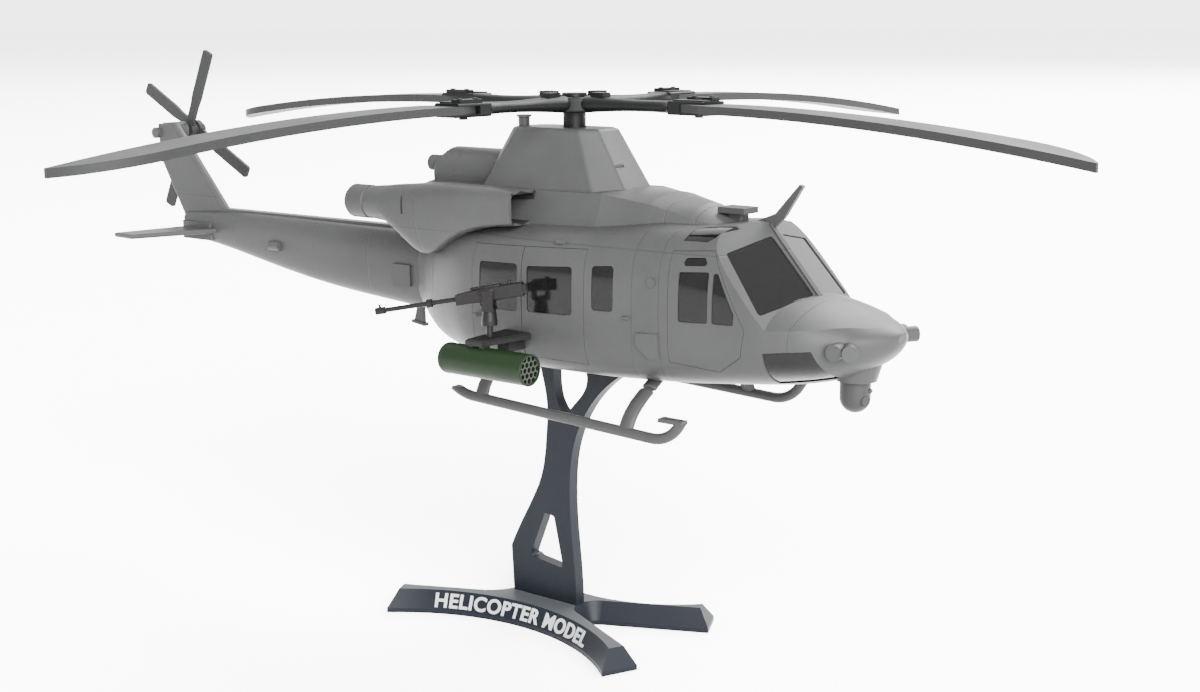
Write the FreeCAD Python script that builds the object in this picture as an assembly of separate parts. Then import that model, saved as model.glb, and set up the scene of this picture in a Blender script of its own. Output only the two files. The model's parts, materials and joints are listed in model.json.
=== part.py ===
"""Scale model of a twin-engine utility helicopter on a forked display stand.

Axes: +X towards the nose, +Y to the model's left (port) side, +Z up.
Origin: on the table, straight below the main rotor shaft.
The aircraft's own pieces are drawn with Z = 0 at the flat of the belly and are
raised by stand_height when they are written.  All sizes are in millimetres.
"""
import FreeCAD, Part

import math
import os

V = FreeCAD.Vector
X_AXIS = V(1, 0, 0)
Y_AXIS = V(0, 1, 0)
Z_AXIS = V(0, 0, 1)
BIG = 400.0

# ---------------------------------------------------------------- clearances
running_fit = 0.05        # radial, between a shaft and its bore
seam_gap = 0.12           # between a door or hatch and the shell round it
loose_gap = 0.35          # between the aircraft and the stand, and past guns

# --------------------------------------------------------------------- stand
stand_height = 78.5       # table to the flat of the belly
base_centre_x = -10.8
base_height = 6.4
base_edge_height = 1.3    # upright rim below the sloping sides
base_slope_run = 2.7      # how far the sides lean in
foot_width = 10.6
# each foot, anticlockwise: direction in degrees, middle of its end from the base's centre
base_feet = [
    (25.1, 42.4, 21.7),
    (135.4, -31.1, 31.2),
    (205.1, -42.4, -21.7),
    (334.9, 42.4, -21.7),
]
base_waist = 11.6         # half width of the base beside the upright
front_notch_radius = 3.9
rear_notch_radius = 10.0
upright_thickness = 3.6
upright_foot_rear = -22.6
upright_foot_front = 0.8
tab_length = 3.2          # fork tips that enter the belly
tab_rear_x = -9.6
tab_front_x = 10.5
tab_rear_width = 4.6
tab_front_width = 8.0
tab_thickness = 2.6
stand_screw_pitch = 14.0
stand_screw_radius = 1.2
stand_screw_head_radius = 2.2

# ------------------------------------------------------------------ fuselage
skin = 1.3                # wall of the moulded fuselage
pane_recess = 0.3         # how far a window sits below the skin
cover_rise = 0.35         # how far a hatch cover stands proud of it
# x, half width, bottom, height of widest line, top, lower and upper fullness
HULL = [
    (-52.0, 8.8, 8.6, 19.5, 31.8, 2.6, 3.0),
    (-46.0, 12.4, 4.6, 19.5, 33.4, 2.8, 3.0),
    (-38.0, 17.2, 1.7, 19.5, 35.4, 3.0, 3.2),
    (-28.0, 21.8, 0.5, 19.5, 37.4, 3.3, 3.5),
    (-16.0, 25.4, 0.0, 19.5, 38.8, 3.8, 3.8),
    (0.0, 26.8, 0.0, 19.5, 39.8, 4.2, 4.2),
    (24.0, 26.8, 0.3, 20.0, 40.9, 4.2, 4.2),
    (44.0, 25.6, 1.1, 20.0, 42.0, 3.9, 4.0),
    (58.0, 24.2, 2.0, 19.5, 42.8, 3.4, 3.6),
    (66.0, 23.4, 2.7, 18.5, 42.0, 3.1, 3.2),
    (73.0, 22.8, 3.4, 17.5, 37.0, 2.9, 2.8),
    (79.0, 21.4, 4.2, 16.5, 29.5, 2.7, 2.5),
    (85.0, 19.0, 5.4, 16.0, 25.6, 2.5, 2.3),
    (90.0, 15.2, 7.2, 16.0, 23.2, 2.4, 2.2),
    (94.0, 12.2, 9.2, 16.2, 21.3, 2.3, 2.1),
    (97.4, 8.6, 11.5, 16.5, 19.9, 2.2, 2.1),
    (99.7, 5.0, 13.7, 16.9, 18.9, 2.1, 2.0),
    (100.8, 2.0, 15.7, 17.1, 18.0, 2.0, 2.0),
]
NOSE_DECK = [
    (58.0, 27.9),
    (66.0, 27.2),
    (72.0, 26.4),
    (78.0, 25.5),
    (84.0, 24.2),
    (90.0, 22.3),
    (96.0, 20.3),
    (104.0, 17.4),
]
nose_deck_radius = 42.0
post_top = V(64.0, 0.0, 41.5)
post_foot = V(77.7, 0.0, 25.6)
screen_side = V(62.0, -19.0, 36.6)
post_width = 2.2
post_rise = 0.5

# doors and windows in side view: (x, z) corners
cockpit_door = [(49.2, 9.0), (49.2, 36.8), (60.4, 37.5), (70.4, 19.0), (69.2, 12.2), (62.4, 7.5)]
cabin_door_rear_x = -15.6
cabin_door_front_x = 24.1
cabin_door_sill = 5.2
cabin_door_head = 33.8
cockpit_panes = [
    [(52.0, 19.5), (52.0, 31.9), (60.2, 32.4), (60.2, 19.8)],
    [(61.3, 19.8), (61.3, 32.2), (62.5, 32.2), (67.5, 22.6), (67.3, 19.9)],
    [(52.4, 33.4), (53.5, 35.4), (58.4, 35.7), (59.8, 33.8)],
]
cabin_panes = [
    [(-12.6, 16.9), (-12.6, 29.4), (1.6, 29.9), (1.6, 17.2)],
    [(4.8, 17.4), (4.8, 29.6), (20.2, 30.7), (20.2, 18.0)],
    [(26.3, 20.0), (26.3, 31.4), (33.0, 31.9), (33.0, 20.2)],
]
pane_corner_radius = 1.1
cockpit_pane_radius = 0.7
pane_gap = 0.05           # round each door or cabin window in its opening
chin_pane = [(75.0, 13.9), (81.0, 14.6), (86.2, 15.0), (87.3, 12.0), (88.5, 8.6), (88.6, 7.2), (75.6, 5.3)]
roof_pane = [(50.4, -20.4), (50.6, -14.0), (52.0, -12.4), (60.6, -10.0), (58.4, -18.4), (57.2, -19.6)]
door_split_x = 3.0        # moulded line between the two leaves of the cabin door
groove_width = 0.3
floor_height = 5.0
floor_thickness = 1.2

# ------------------------------------------------------- roof, pylon, engines
# x, half width at the foot, half width and height of the crease, top
COWL = [
    (-62.0, 6.0, 4.6, 32.4, 33.0),
    (-54.0, 11.0, 8.0, 40.5, 42.6),
    (-46.0, 17.0, 12.5, 47.0, 48.6),
    (20.0, 20.4, 13.6, 48.3, 49.0),
    (34.0, 17.8, 11.8, 46.2, 48.6),
    (45.0, 14.6, 9.6, 43.4, 46.4),
    (54.0, 11.2, 7.2, 40.9, 42.4),
]
cowl_foot_z = 34.0
pylon_foot_z = 47.6
pylon_top_z = 64.2
pylon_foot = [(23.2, 6.0), (17.0, 13.2), (-23.4, 13.2), (-27.8, 8.0)]
pylon_top = [(11.5, 4.6), (7.4, 8.0), (-13.5, 8.0), (-17.2, 5.4)]
pylon_edge_radius = 1.6
lobe_rear_x = -47.0
lobe_radius = 7.6
lobe_centre_z = 49.6
stub_radius = 2.3
stub_rear_x = -50.5
# x, centre y, half width, bottom, height of widest line, top, lower and upper fullness
NACELLE = [
    (-2.9, -18.4, 5.9, 39.0, 43.6, 48.2, 6.0, 6.0),
    (-14.0, -18.4, 6.3, 37.6, 43.4, 48.6, 5.0, 5.0),
    (-26.0, -18.2, 6.5, 33.6, 43.0, 48.6, 3.0, 4.0),
    (-36.0, -17.9, 6.3, 28.8, 42.4, 48.5, 2.1, 3.2),
    (-42.0, -18.3, 5.9, 29.0, 42.0, 48.0, 1.9, 2.6),
    (-47.0, -19.2, 5.5, 33.2, 41.9, 47.6, 2.0, 2.2),
    (-51.5, -19.8, 5.2, 36.7, 41.9, 47.1, 2.0, 2.0),
]
intake_depth = 15.0
intake_wall = 0.9
exhaust_centre = V(0, -19.8, 41.9)
exhaust_radius = 5.2
exhaust_mouth_radius = 4.8
exhaust_wall = 0.6
exhaust_length = 16.0
exhaust_ring_from_mouth = 7.6

# --------------------------------------------------------------- rotor sizes
rotor_radius = 154.0
hub_height = 70.6         # above the belly flat
blade_chord = 12.6
blade_thickness = 2.1
blade_droop = 8.6
blade_root_radius = 40.0
blade_count = 4
blade_rest_angle = -3.5
cuff_end_radius = 47.5
cuff_root_radius = 7.0
hub_radius = 7.4
hub_depth = 4.6
mast_radius = 3.1
spindle_radius = 1.6
spindle_length = 22.0
blade_bolt_radius = 1.1

tail_rotor_x = -183.2
tail_rotor_z = 56.0
tail_rotor_radius = 29.5
tail_blade_chord = 4.2
tail_blade_thickness = 1.1
tail_rotor_inner_y = 14.4
tail_rotor_pair_step = 3.4
tail_inner_angle = 65.0   # of the blade pair in the XZ plane, from +X up
tail_pair_spread = 87.0
tail_shaft_radius = 1.3
tail_shaft_inner_y = 5.6
tail_hub_radius = 3.2

# ----------------------------------------------------------------- tail boom
# x, half width, bottom, height of widest line, top
BOOM = [
    (-50.0, 8.4, 8.4, 21.0, 32.0),
    (-77.0, 7.6, 10.4, 22.5, 31.9),
    (-112.0, 6.0, 14.2, 25.0, 32.0),
    (-142.0, 4.6, 19.2, 27.0, 31.8),
    (-165.5, 3.4, 21.8, 27.0, 30.4),
]
boom_fullness = 3.0
spine_width = 4.4
spine_rise = 0.8
spine_front_x = -53.0
spine_rear_x = -148.0
fin_foot_front_x = -142.2
fin_foot_rear_x = -167.0
fin_top_front_x = -171.2
fin_top_rear_x = -179.8
fin_foot_z = 27.5
fin_top_z = 59.6
fin_thickness = 3.2
gearbox_radius = 3.0
stabiliser_half_span = 31.0
stabiliser_root_front_x = -147.5
stabiliser_root_rear_x = -163.0
stabiliser_tip_front_x = -157.5
stabiliser_tip_rear_x = -167.0
stabiliser_z = 25.2
stabiliser_thickness = 1.5

# ------------------------------------------------------------- landing skids
skid_radius = 1.4
skid_y = 28.7
skid_rear_z = -7.4        # middle of the tube where its straight part begins
skid_slope = 2.5          # degrees, lower towards the nose
skid_rear_x = -12.5
skid_front_x = 47.0
skid_front_bend_radius = 9.5
skid_front_bend = 60.0
skid_toe_z = -5.2
skid_toe_plate = (49.9, 57.0, 1.0)
skid_rear_bend = 28.0
skid_rear_bend_radius = 15.0
front_leg_x = 38.9
rear_leg_x = -9.8
leg_chord = 4.4
leg_thickness = 2.2

# ----------------------------------------------------- weapons and nose gear
pod_radius = 4.1
pod_wall = 0.5
pod_front_x = 18.8
pod_length = 28.8
pod_y = 42.0
pod_z = 6.0
pod_tube_radius = 0.62
pod_tube_pitch = 1.62
pod_bulkhead_recess = 0.35
arm_thickness = 1.6
arm_rear_x = -1.8
arm_front_x = 5.6
arm_outer_y = 43.6
arm_gap_to_pod = 0.3
pintle_x = 0.9
pintle_y = 37.0
pintle_radius = 0.9
pintle_height = 6.2
cradle_foot_rise = 3.0
cradle_foot_radius = 2.1
cradle_top_radius = 1.1
gun_axis_z = 23.2
gun_aft_angle = 30.0      # barrel direction, from straight aft towards outboard
gun_droop_angle = 9.5
receiver_length = 18.0
receiver_width = 2.9
receiver_height = 3.5
barrel_length = 22.0
barrel_radius = 0.62
trunnion_radius = 0.5
turret_x = 88.3
turret_radius = 3.85
turret_top_z = 5.0
turret_ball_z = 1.0
turret_spigot_radius = 1.2
turret_spigot_length = 1.4
turret_lens_radius = 1.35
turret_lens_angle = -18.0
sensor_radius = 2.0
sensor_length = 4.2


# ------------------------------------------------------------------- helpers
def closed_curve(points):
    curve = Part.BSplineCurve()
    count = len(points)
    knots = [k / count for k in range(count + 1)]
    curve.interpolate(Points=points, PeriodicFlag=True, Parameters=knots)
    return Part.Wire([curve.toShape()])


def station(x, yc, w, zb, zw, zt, nb, nt, inset=0.0, count=36):
    """One closed cross-section at x: an oval with its own lower and upper fullness."""
    points = []
    for k in range(count):
        a = 2.0 * math.pi * (k + 0.5) / count
        c, s = math.cos(a), math.sin(a)
        n = nt if s > 0 else nb
        height = (zt - zw if s > 0 else zw - zb) - inset
        width = w - inset
        reach = (abs(c / width) ** n + abs(s / height) ** n) ** (-1.0 / n)
        points.append(V(x, yc + reach * c, zw + reach * s))
    return closed_curve(points)


def loft(wires, ruled=False):
    return Part.makeLoft(wires, True, ruled)


def hull(inset=0.0):
    rows = HULL
    if inset:
        rows = [row for row in HULL if row[1] > 3.0 * skin and row[4] - row[2] > 6.0 * skin]
    wires = []
    for x, w, zb, zw, zt, nb, nt in rows:
        shift = inset if x == HULL[0][0] else 0.0
        wires.append(station(x + shift, 0.0, w, zb, zw, zt, nb, nt, inset))
    return loft(wires)


def face_of(points):
    return Part.Face(Part.makePolygon(points + [points[0]]))


def prism_y(outline, y_from, y_to):
    """A plate from (x, z) corners, running along Y."""
    return face_of([V(x, y_from, z) for x, z in outline]).extrude(V(0, y_to - y_from, 0))


def prism_z(outline, z_from, z_to):
    return face_of([V(x, y, z_from) for x, y in outline]).extrude(V(0, 0, z_to - z_from))


def rounded_prism_y(outline, y_from, y_to, radius):
    """As prism_y, with its long edges rounded."""
    solid = prism_y(outline, y_from, y_to)
    edges = [e for e in solid.Edges if abs(abs(e.tangentAt(e.FirstParameter).y) - 1.0) < 1e-6]
    return solid.makeFillet(radius, edges)


def grown(outline, amount):
    """The outline with every edge moved straight outwards by amount."""
    following = outline[1:] + outline[:1]
    turning = sum(a[0] * b[1] - b[0] * a[1] for a, b in zip(outline, following))
    way = amount if turning > 0 else -amount
    normals = []
    for a, b in zip(outline, following):
        length = math.hypot(b[0] - a[0], b[1] - a[1])
        normals.append(((b[1] - a[1]) / length, (a[0] - b[0]) / length))
    result = []
    for k, (x, z) in enumerate(outline):
        (nx, nz), (mx, mz) = normals[k - 1], normals[k]
        share = way / (1.0 + nx * mx + nz * mz)
        result.append((x + (nx + mx) * share, z + (nz + mz) * share))
    return result


def mirrored(shape):
    """The same piece on the other side of the aircraft."""
    return shape.mirror(V(0, 0, 0), Y_AXIS)


def cylinder(radius, start, end):
    axis = end.sub(start)
    return Part.makeCylinder(radius, axis.Length, start, axis)


def cone(r1, r2, start, end):
    axis = end.sub(start)
    return Part.makeCone(r1, r2, axis.Length, start, axis)


def box(x1, x2, y1, y2, z1, z2):
    return Part.makeBox(x2 - x1, y2 - y1, z2 - z1, V(x1, y1, z1))


def solids_only(shape):
    """The shape as one solid, or as a compound of its solids, with slivers left out."""
    parts = [s for s in shape.Solids if s.Volume > 0.02]
    if len(parts) == 1:
        return parts[0]
    return Part.makeCompound(parts)


NODES = {}


def keep(name, shape, airborne=True):
    """Add one finished node.  Aircraft pieces are lifted to their height on the stand."""
    shape = solids_only(shape)
    if airborne:
        shape = shape.copy()
        shape.translate(V(0, 0, stand_height))
    NODES[name] = shape


def finished(name):
    """A finished node, read back in the aircraft's own heights."""
    shape = NODES[name].copy()
    shape.translate(V(0, 0, -stand_height))
    return shape


# --------------------------------------------------------------------- stand
def meet_circle(start, along, centre, radius, expected):
    """The point on a line where it crosses a circle, nearest the expected distance along."""
    q = start.sub(centre)
    half_b = q.dot(along)
    root = math.sqrt(half_b * half_b - q.dot(q) + radius * radius)
    t = min((-half_b - root, -half_b + root), key=lambda value: abs(value - expected))
    return start.add(along * t)


def notch_centre(first, second, radius):
    """Middle of a circle that touches the facing sides of two neighbouring feet."""
    half = 0.5 * foot_width
    n1 = first[2]
    n2 = second[2].negative()
    a = first[0].dot(n1) + half + radius
    b = second[0].dot(n2) + half + radius
    det = n1.x * n2.y - n1.y * n2.x
    return V((a * n2.y - b * n1.y) / det, (n1.x * b - n2.x * a) / det, 0)


def base_outline(inset, z):
    """The four-footed outline, every side moved in by inset."""
    half = 0.5 * foot_width
    feet = []
    for degrees, x, y in base_feet:
        a = math.radians(degrees)
        out = V(math.cos(a), math.sin(a), 0)
        feet.append((V(x, y, 0), out, Z_AXIS.cross(out)))

    def at(p):
        return V(base_centre_x + p.x, p.y, z)

    gaps = []
    for k in range(4):
        first, second = feet[k], feet[(k + 1) % 4]
        end_1 = first[0].sub(first[1] * inset)
        end_2 = second[0].sub(second[1] * inset)
        if k % 2 == 0:
            waist = V(0, base_waist if k == 0 else -base_waist, 0)
            arc = Part.Circle(first[0].add(first[2] * half), waist, second[0].sub(second[2] * half))
            radius = arc.Radius + inset
            start = meet_circle(end_1, first[2], arc.Center, radius, half)
            finish = meet_circle(end_2, second[2], arc.Center, radius, -half)
            middle = arc.Center.add(waist.sub(arc.Center).normalize() * radius)
            gaps.append((start, finish, [Part.Arc(at(start), at(middle), at(finish)).toShape()]))
        else:
            corner = rear_notch_radius if k == 1 else front_notch_radius
            centre = notch_centre(first, second, corner)
            radius = corner + inset
            start = end_1.add(first[2] * (half - inset))
            finish = end_2.sub(second[2] * (half - inset))
            touch_1 = centre.sub(first[2] * radius)
            touch_2 = centre.add(second[2] * radius)
            apex = centre.sub(first[2].sub(second[2]).normalize() * radius)
            gaps.append((start, finish, [Part.makeLine(at(start), at(touch_1)),
                                         Part.Arc(at(touch_1), at(apex), at(touch_2)).toShape(),
                                         Part.makeLine(at(touch_2), at(finish))]))
    edges = []
    for k in range(4):
        edges.extend(gaps[k][2])
        edges.append(Part.makeLine(at(gaps[k][1]), at(gaps[(k + 1) % 4][0])))
    return Part.Wire(edges)


def screw_places():
    middle = 0.5 * (upright_foot_rear + upright_foot_front)
    return [middle - 0.5 * stand_screw_pitch, middle + 0.5 * stand_screw_pitch]


def stand():
    rim = Part.Face(base_outline(0.0, 0.0)).extrude(V(0, 0, base_edge_height))
    slope = loft([base_outline(0.0, base_edge_height), base_outline(base_slope_run, base_height)], True)
    base = rim.fuse(slope).removeSplitter()
    screws = []
    upright = upright_plate()
    for x in screw_places():
        head = cone(stand_screw_head_radius, stand_screw_radius, V(x, 0, 0.4), V(x, 0, 2.2))
        shank = cylinder(stand_screw_radius, V(x, 0, 2.2), V(x, 0, base_height + 6.0))
        slot = box(x - 1.6, x + 1.6, -0.25, 0.25, 0.0, 0.9)
        screw = head.fuse(shank).cut(slot)
        well = cylinder(stand_screw_head_radius, V(x, 0, 0), V(x, 0, 0.4))
        base = base.cut(well).cut(head).cut(shank)
        upright = upright.cut(shank)
        screws.append(screw)
    keep("stand_base", base, airborne=False)
    keep("stand_upright", upright, airborne=False)
    keep("stand_screws", Part.makeCompound(screws), airborne=False)


def spline(points):
    curve = Part.BSplineCurve()
    curve.interpolate(points)
    return curve.toShape()


def upright_plate():
    """A tall fork cut from plate, with a three-cornered window low down."""
    y = -0.5 * upright_thickness
    top = stand_height - loose_gap
    waist_rear_x = -9.6
    waist_front_x = -1.2
    crotch = V(-2.2, y, stand_height - 16.6)

    def p(x, z):
        return V(x, y, z)

    rear = [p(upright_foot_rear - 0.8, base_height + 13.5), p(-16.8, stand_height - 46.0),
            p(-11.4, stand_height - 34.5), p(waist_rear_x, stand_height - 22.5),
            p(waist_rear_x + 0.3, stand_height - 14.0), p(-11.2, stand_height - 5.0), p(-12.4, top)]
    rear_inner = [p(-6.6, top), p(-6.7, stand_height - 7.0), p(-5.2, stand_height - 13.4), crotch]
    front_inner = [crotch, p(0.9, stand_height - 12.6), p(4.4, stand_height - 8.2),
                   p(5.2, stand_height - 4.6), p(3.9, stand_height - 1.6), p(1.6, top)]
    front = [p(21.6, top), p(14.2, stand_height - 4.6), p(7.2, stand_height - 11.4),
             p(2.6, stand_height - 18.8), p(-0.2, stand_height - 27.0),
             p(waist_front_x, stand_height - 36.0), p(-1.0, stand_height - 47.0),
             p(0.4, base_height + 10.5), p(upright_foot_front, base_height)]
    edges = [Part.makeLine(p(upright_foot_rear, base_height), rear[0]),
             spline(rear),
             Part.makeLine(rear[-1], rear_inner[0]),
             spline(rear_inner),
             spline(front_inner),
             Part.makeLine(front_inner[-1], front[0]),
             spline(front),
             Part.makeLine(front[-1], p(upright_foot_rear, base_height))]
    plate = Part.Face(Part.Wire(edges)).extrude(V(0, upright_thickness, 0))
    window = [(-10.6, base_height + 25.6), (-7.2, base_height + 25.2),
              (-3.9, base_height + 10.2), (-16.2, base_height + 11.8)]
    plate = plate.cut(rounded_prism_y(window, -6.0, 6.0, 0.9))
    for x, width in ((tab_rear_x, tab_rear_width), (tab_front_x, tab_front_width)):
        tab = box(x - 0.5 * width, x + 0.5 * width, -0.5 * tab_thickness, 0.5 * tab_thickness,
                  top - 0.5, stand_height + tab_length)
        plate = plate.fuse(tab)
    return plate.removeSplitter()


# ------------------------------------------------------------------ fuselage
def screen_frame():
    """Local axes of the right-hand windscreen: down the post, across, and outwards."""
    down = post_foot.sub(post_top).normalize()
    side = screen_side.sub(post_top)
    normal = side.cross(down).normalize()
    if normal.x < 0:
        normal = normal.negative()
    across = normal.cross(down).normalize()
    if across.y > 0:
        across = across.negative()
    return down, across, normal


def place_on_screen(shape):
    """Move a shape drawn in the XY plane (X down the post, Y outboard) onto the screen."""
    down, across, normal = screen_frame()
    matrix = FreeCAD.Matrix(
        down.x, across.x, normal.x, post_top.x,
        down.y, across.y, normal.y, post_top.y,
        down.z, across.z, normal.z, post_top.z,
        0, 0, 0, 1)
    return shape.transformGeometry(matrix)


def in_front_of_screen(inset):
    """All the space ahead of both windscreen planes."""
    down, across, normal = screen_frame()
    half = 90.0
    corners = []
    for a, b in ((-half, -20.0), (half, -20.0), (half, half), (-half, half)):
        corners.append(post_top.add(down * a).add(across * b).sub(normal * inset))
    right = face_of(corners).extrude(normal * 100.0)
    right = right.common(box(-BIG, BIG, -BIG, 0, -BIG, BIG))
    return right.fuse(mirrored(right))


def nose_deck(inset):
    """A block whose crowned top is the upper surface of the nose."""
    half = 34.0
    drop = nose_deck_radius - math.sqrt(nose_deck_radius ** 2 - half ** 2)
    wires = []
    for x, z in NOSE_DECK:
        top = z - inset
        arc = Part.Arc(V(x, -half, top - drop), V(x, 0, top), V(x, half, top - drop)).toShape()
        left = Part.makeLine(V(x, half, top - drop), V(x, half, -30))
        bottom = Part.makeLine(V(x, half, -30), V(x, -half, -30))
        right = Part.makeLine(V(x, -half, -30), V(x, -half, top - drop))
        wires.append(Part.Wire([arc, left, bottom, right]))
    return loft(wires)


def hull_body(inset=0.0):
    """The outer form, or the same form moved in by inset, with the windscreen planes cut."""
    cutter = in_front_of_screen(inset).cut(nose_deck(inset))
    return hull(inset).cut(cutter)


def screen_outline(shrink):
    """Corners of the right-hand pane on the screen: down the post, outboard."""
    return [(2.0 + shrink, 2.3 + shrink), (2.4 + shrink, 19.2 - shrink),
            (20.4 - shrink, 21.8 - shrink), (20.6 - shrink, 1.8 + shrink)]


def screen_prism(shrink, depth_in, depth_out):
    points = [V(a, b, -depth_in) for a, b in screen_outline(shrink)]
    solid = face_of(points).extrude(V(0, 0, depth_in + depth_out))
    edges = [e for e in solid.Edges if abs(abs(e.tangentAt(e.FirstParameter).z) - 1.0) < 1e-6]
    return place_on_screen(solid.makeFillet(0.9, edges))


def both_sides(shape):
    return Part.makeCompound([shape, mirrored(shape)])


def fuselage():
    outer = hull_body()
    middle = hull_body(pane_recess)
    inner = hull_body(skin)
    glazing = middle.cut(inner)
    shell = outer.cut(inner)
    side = (-BIG, -15.0)

    def cut_pair(body, tool):
        return body.cut(tool).cut(mirrored(tool))

    # windscreens
    shell = cut_pair(shell, screen_prism(0.0, 6.0, 6.0))
    pane = glazing.common(screen_prism(seam_gap, 6.0, 6.0))
    keep("windscreen_panes", both_sides(solids_only(pane)))

    # roof and chin windows
    roof_tool = prism_z(roof_pane, 30.0, 60.0)
    shell = cut_pair(shell, roof_tool)
    keep("roof_windows", both_sides(solids_only(glazing.common(
        prism_z(grown(roof_pane, -seam_gap), 30.0, 60.0)))))
    chin_tool = prism_y(chin_pane, -BIG, -4.5)
    shell = cut_pair(shell, chin_tool)
    keep("chin_windows", both_sides(solids_only(glazing.common(
        prism_y(grown(chin_pane, -seam_gap), -BIG, -4.5 - seam_gap)))))

    # cockpit doors
    door = shell.common(prism_y(grown(cockpit_door, -seam_gap), *side))
    shell = cut_pair(shell, prism_y(cockpit_door, *side))
    panes = []
    for outline in cockpit_panes:
        door = door.cut(rounded_prism_y(outline, side[0], side[1], cockpit_pane_radius))
        panes.append(glazing.common(
            rounded_prism_y(grown(outline, -pane_gap), side[0], side[1], cockpit_pane_radius - pane_gap)))
    door = solids_only(door)
    keep("cockpit_door_right", door)
    keep("cockpit_door_left", mirrored(door))
    panes = [solids_only(pane) for pane in panes]
    keep("cockpit_door_windows", Part.makeCompound(panes + [mirrored(pane) for pane in panes]))

    # sliding cabin doors and the fixed window ahead of them
    outline = [(cabin_door_rear_x, cabin_door_sill), (cabin_door_rear_x, cabin_door_head),
               (cabin_door_front_x, cabin_door_head + 1.6), (cabin_door_front_x, cabin_door_sill)]
    door = shell.common(prism_y(grown(outline, -seam_gap), *side))
    shell = cut_pair(shell, prism_y(outline, *side))
    panes = []
    for outline in cabin_panes:
        tool = rounded_prism_y(outline, side[0], side[1], pane_corner_radius)
        door = door.cut(tool)
        shell = cut_pair(shell, tool)
        panes.append(glazing.common(
            rounded_prism_y(grown(outline, -pane_gap), side[0], side[1], pane_corner_radius - pane_gap)))
    groove = outer.cut(middle).common(box(door_split_x, door_split_x + groove_width, -BIG, -15.0, -BIG,
                                          BIG))
    door = solids_only(door.cut(groove))
    keep("cabin_door_right", door)
    keep("cabin_door_left", mirrored(door))
    panes = [solids_only(pane) for pane in panes]
    keep("cabin_windows", Part.makeCompound(panes + [mirrored(pane) for pane in panes]))

    # slots that the stand's fork tips enter, and the socket over the turret
    shell = shell.cut(turret_socket())
    for x, width in ((tab_rear_x, tab_rear_width), (tab_front_x, tab_front_width)):
        shell = shell.cut(tab_space(x, width))
    keep("fuselage_shell", shell)
    return outer, inner


def turret_socket():
    top = turret_top_z + turret_spigot_length + loose_gap
    return cylinder(turret_spigot_radius + running_fit, V(turret_x, 0, 0), V(turret_x, 0, top))


def tab_space(x, width):
    return box(x - 0.5 * width - loose_gap, x + 0.5 * width + loose_gap,
               -0.5 * tab_thickness - loose_gap, 0.5 * tab_thickness + loose_gap,
               -3.0, tab_length + loose_gap)


def interior(inner):
    """The dark tub seen through the windows: floor, rear wall, seats and dashboard."""
    z = floor_height
    tub = box(-40.0, 76.0, -30.0, 30.0, z - floor_thickness, z)
    tub = tub.fuse(box(-16.5, -15.3, -30.0, 30.0, z, 33.0))
    tub = tub.fuse(box(-15.3, -7.5, -19.0, 19.0, z, z + 8.0))
    tub = tub.fuse(box(-15.3, -13.2, -19.0, 19.0, z + 8.0, z + 21.0))
    tub = tub.common(inner)
    for x, width in ((tab_rear_x, tab_rear_width), (tab_front_x, tab_front_width)):
        socket = box(x - 0.5 * width - 1.4, x + 0.5 * width + 1.4, -0.5 * tab_thickness - 1.4,
                     0.5 * tab_thickness + 1.4, 0.0, z - floor_thickness + 0.2)
        tub = tub.fuse(socket.common(inner))
    for x, width in ((tab_rear_x, tab_rear_width), (tab_front_x, tab_front_width)):
        tub = tub.cut(tab_space(x, width))
    keep("cabin_tub", tub)
    seats = []
    for side in (-1, 1):
        yc = 10.5 * side
        cushion = box(50.5, 59.5, yc - 5.0, yc + 5.0, z, z + 7.0)
        back = prism_y([(48.0, z + 4.0), (45.8, z + 27.0), (48.4, z + 27.0), (51.0, z + 4.0)],
                       yc - 5.0, yc + 5.0)
        seats.append(cushion.fuse(back).removeSplitter())
    keep("pilot_seats", Part.makeCompound(seats).common(inner))
    dash = prism_y([(66.4, z), (66.4, z + 15.8), (68.4, z + 18.4), (71.4, z + 18.4), (71.4, z)],
                   -17.5, 17.5)
    keep("instrument_panel", dash.common(inner))


def windscreen_post(outer):
    down, across, normal = screen_frame()
    half = 0.5 * post_width
    start = post_top.sub(down * 0.8)
    ends = []
    for s in (start, post_foot.add(down * 0.6)):
        ridge = s.add(V(normal.x, 0, normal.z).normalize() * post_rise)
        right = s.add(across * half).add(normal * post_rise)
        left = V(right.x, -right.y, right.z)
        low_right = s.add(across * half).sub(normal * 0.6)
        low_left = V(low_right.x, -low_right.y, low_right.z)
        ends.append(Part.makePolygon([ridge, left, low_left, low_right, right, ridge]))
    strip = loft(ends, True)
    keep("windscreen_post", strip.cut(outer))


# -------------------------------------------------------- cowling and engines
def cowling(outer):
    wires = []
    for x, foot, crease, crease_z, top in COWL:
        a = V(x, -foot, cowl_foot_z - 4.0)
        b = V(x, -crease, crease_z)
        c = V(x, 0, top)
        d = V(x, crease, crease_z)
        e = V(x, foot, cowl_foot_z - 4.0)
        wires.append(Part.Wire([Part.makeLine(a, b), Part.Arc(b, c, d).toShape(),
                                Part.makeLine(d, e), Part.makeLine(e, a)]))
    body = loft(wires, True)
    return body.cut(outer)


def eight_sided(corners, z):
    right = [V(x, -y, z) for x, y in corners]
    left = [V(x, y, z) for x, y in reversed(corners)]
    points = right + left
    return Part.makePolygon(points + [points[0]])


def pylon_body():
    body = loft([eight_sided(pylon_foot, pylon_foot_z - 3.0 * 0.5),
                 eight_sided(pylon_top, pylon_top_z)], True)
    slanted = []
    for e in body.Edges:
        z1 = e.Vertexes[0].Point.z
        z2 = e.Vertexes[-1].Point.z
        if max(z1, z2) > pylon_foot_z:
            slanted.append(e)
    return body.makeFillet(pylon_edge_radius, slanted)


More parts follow.
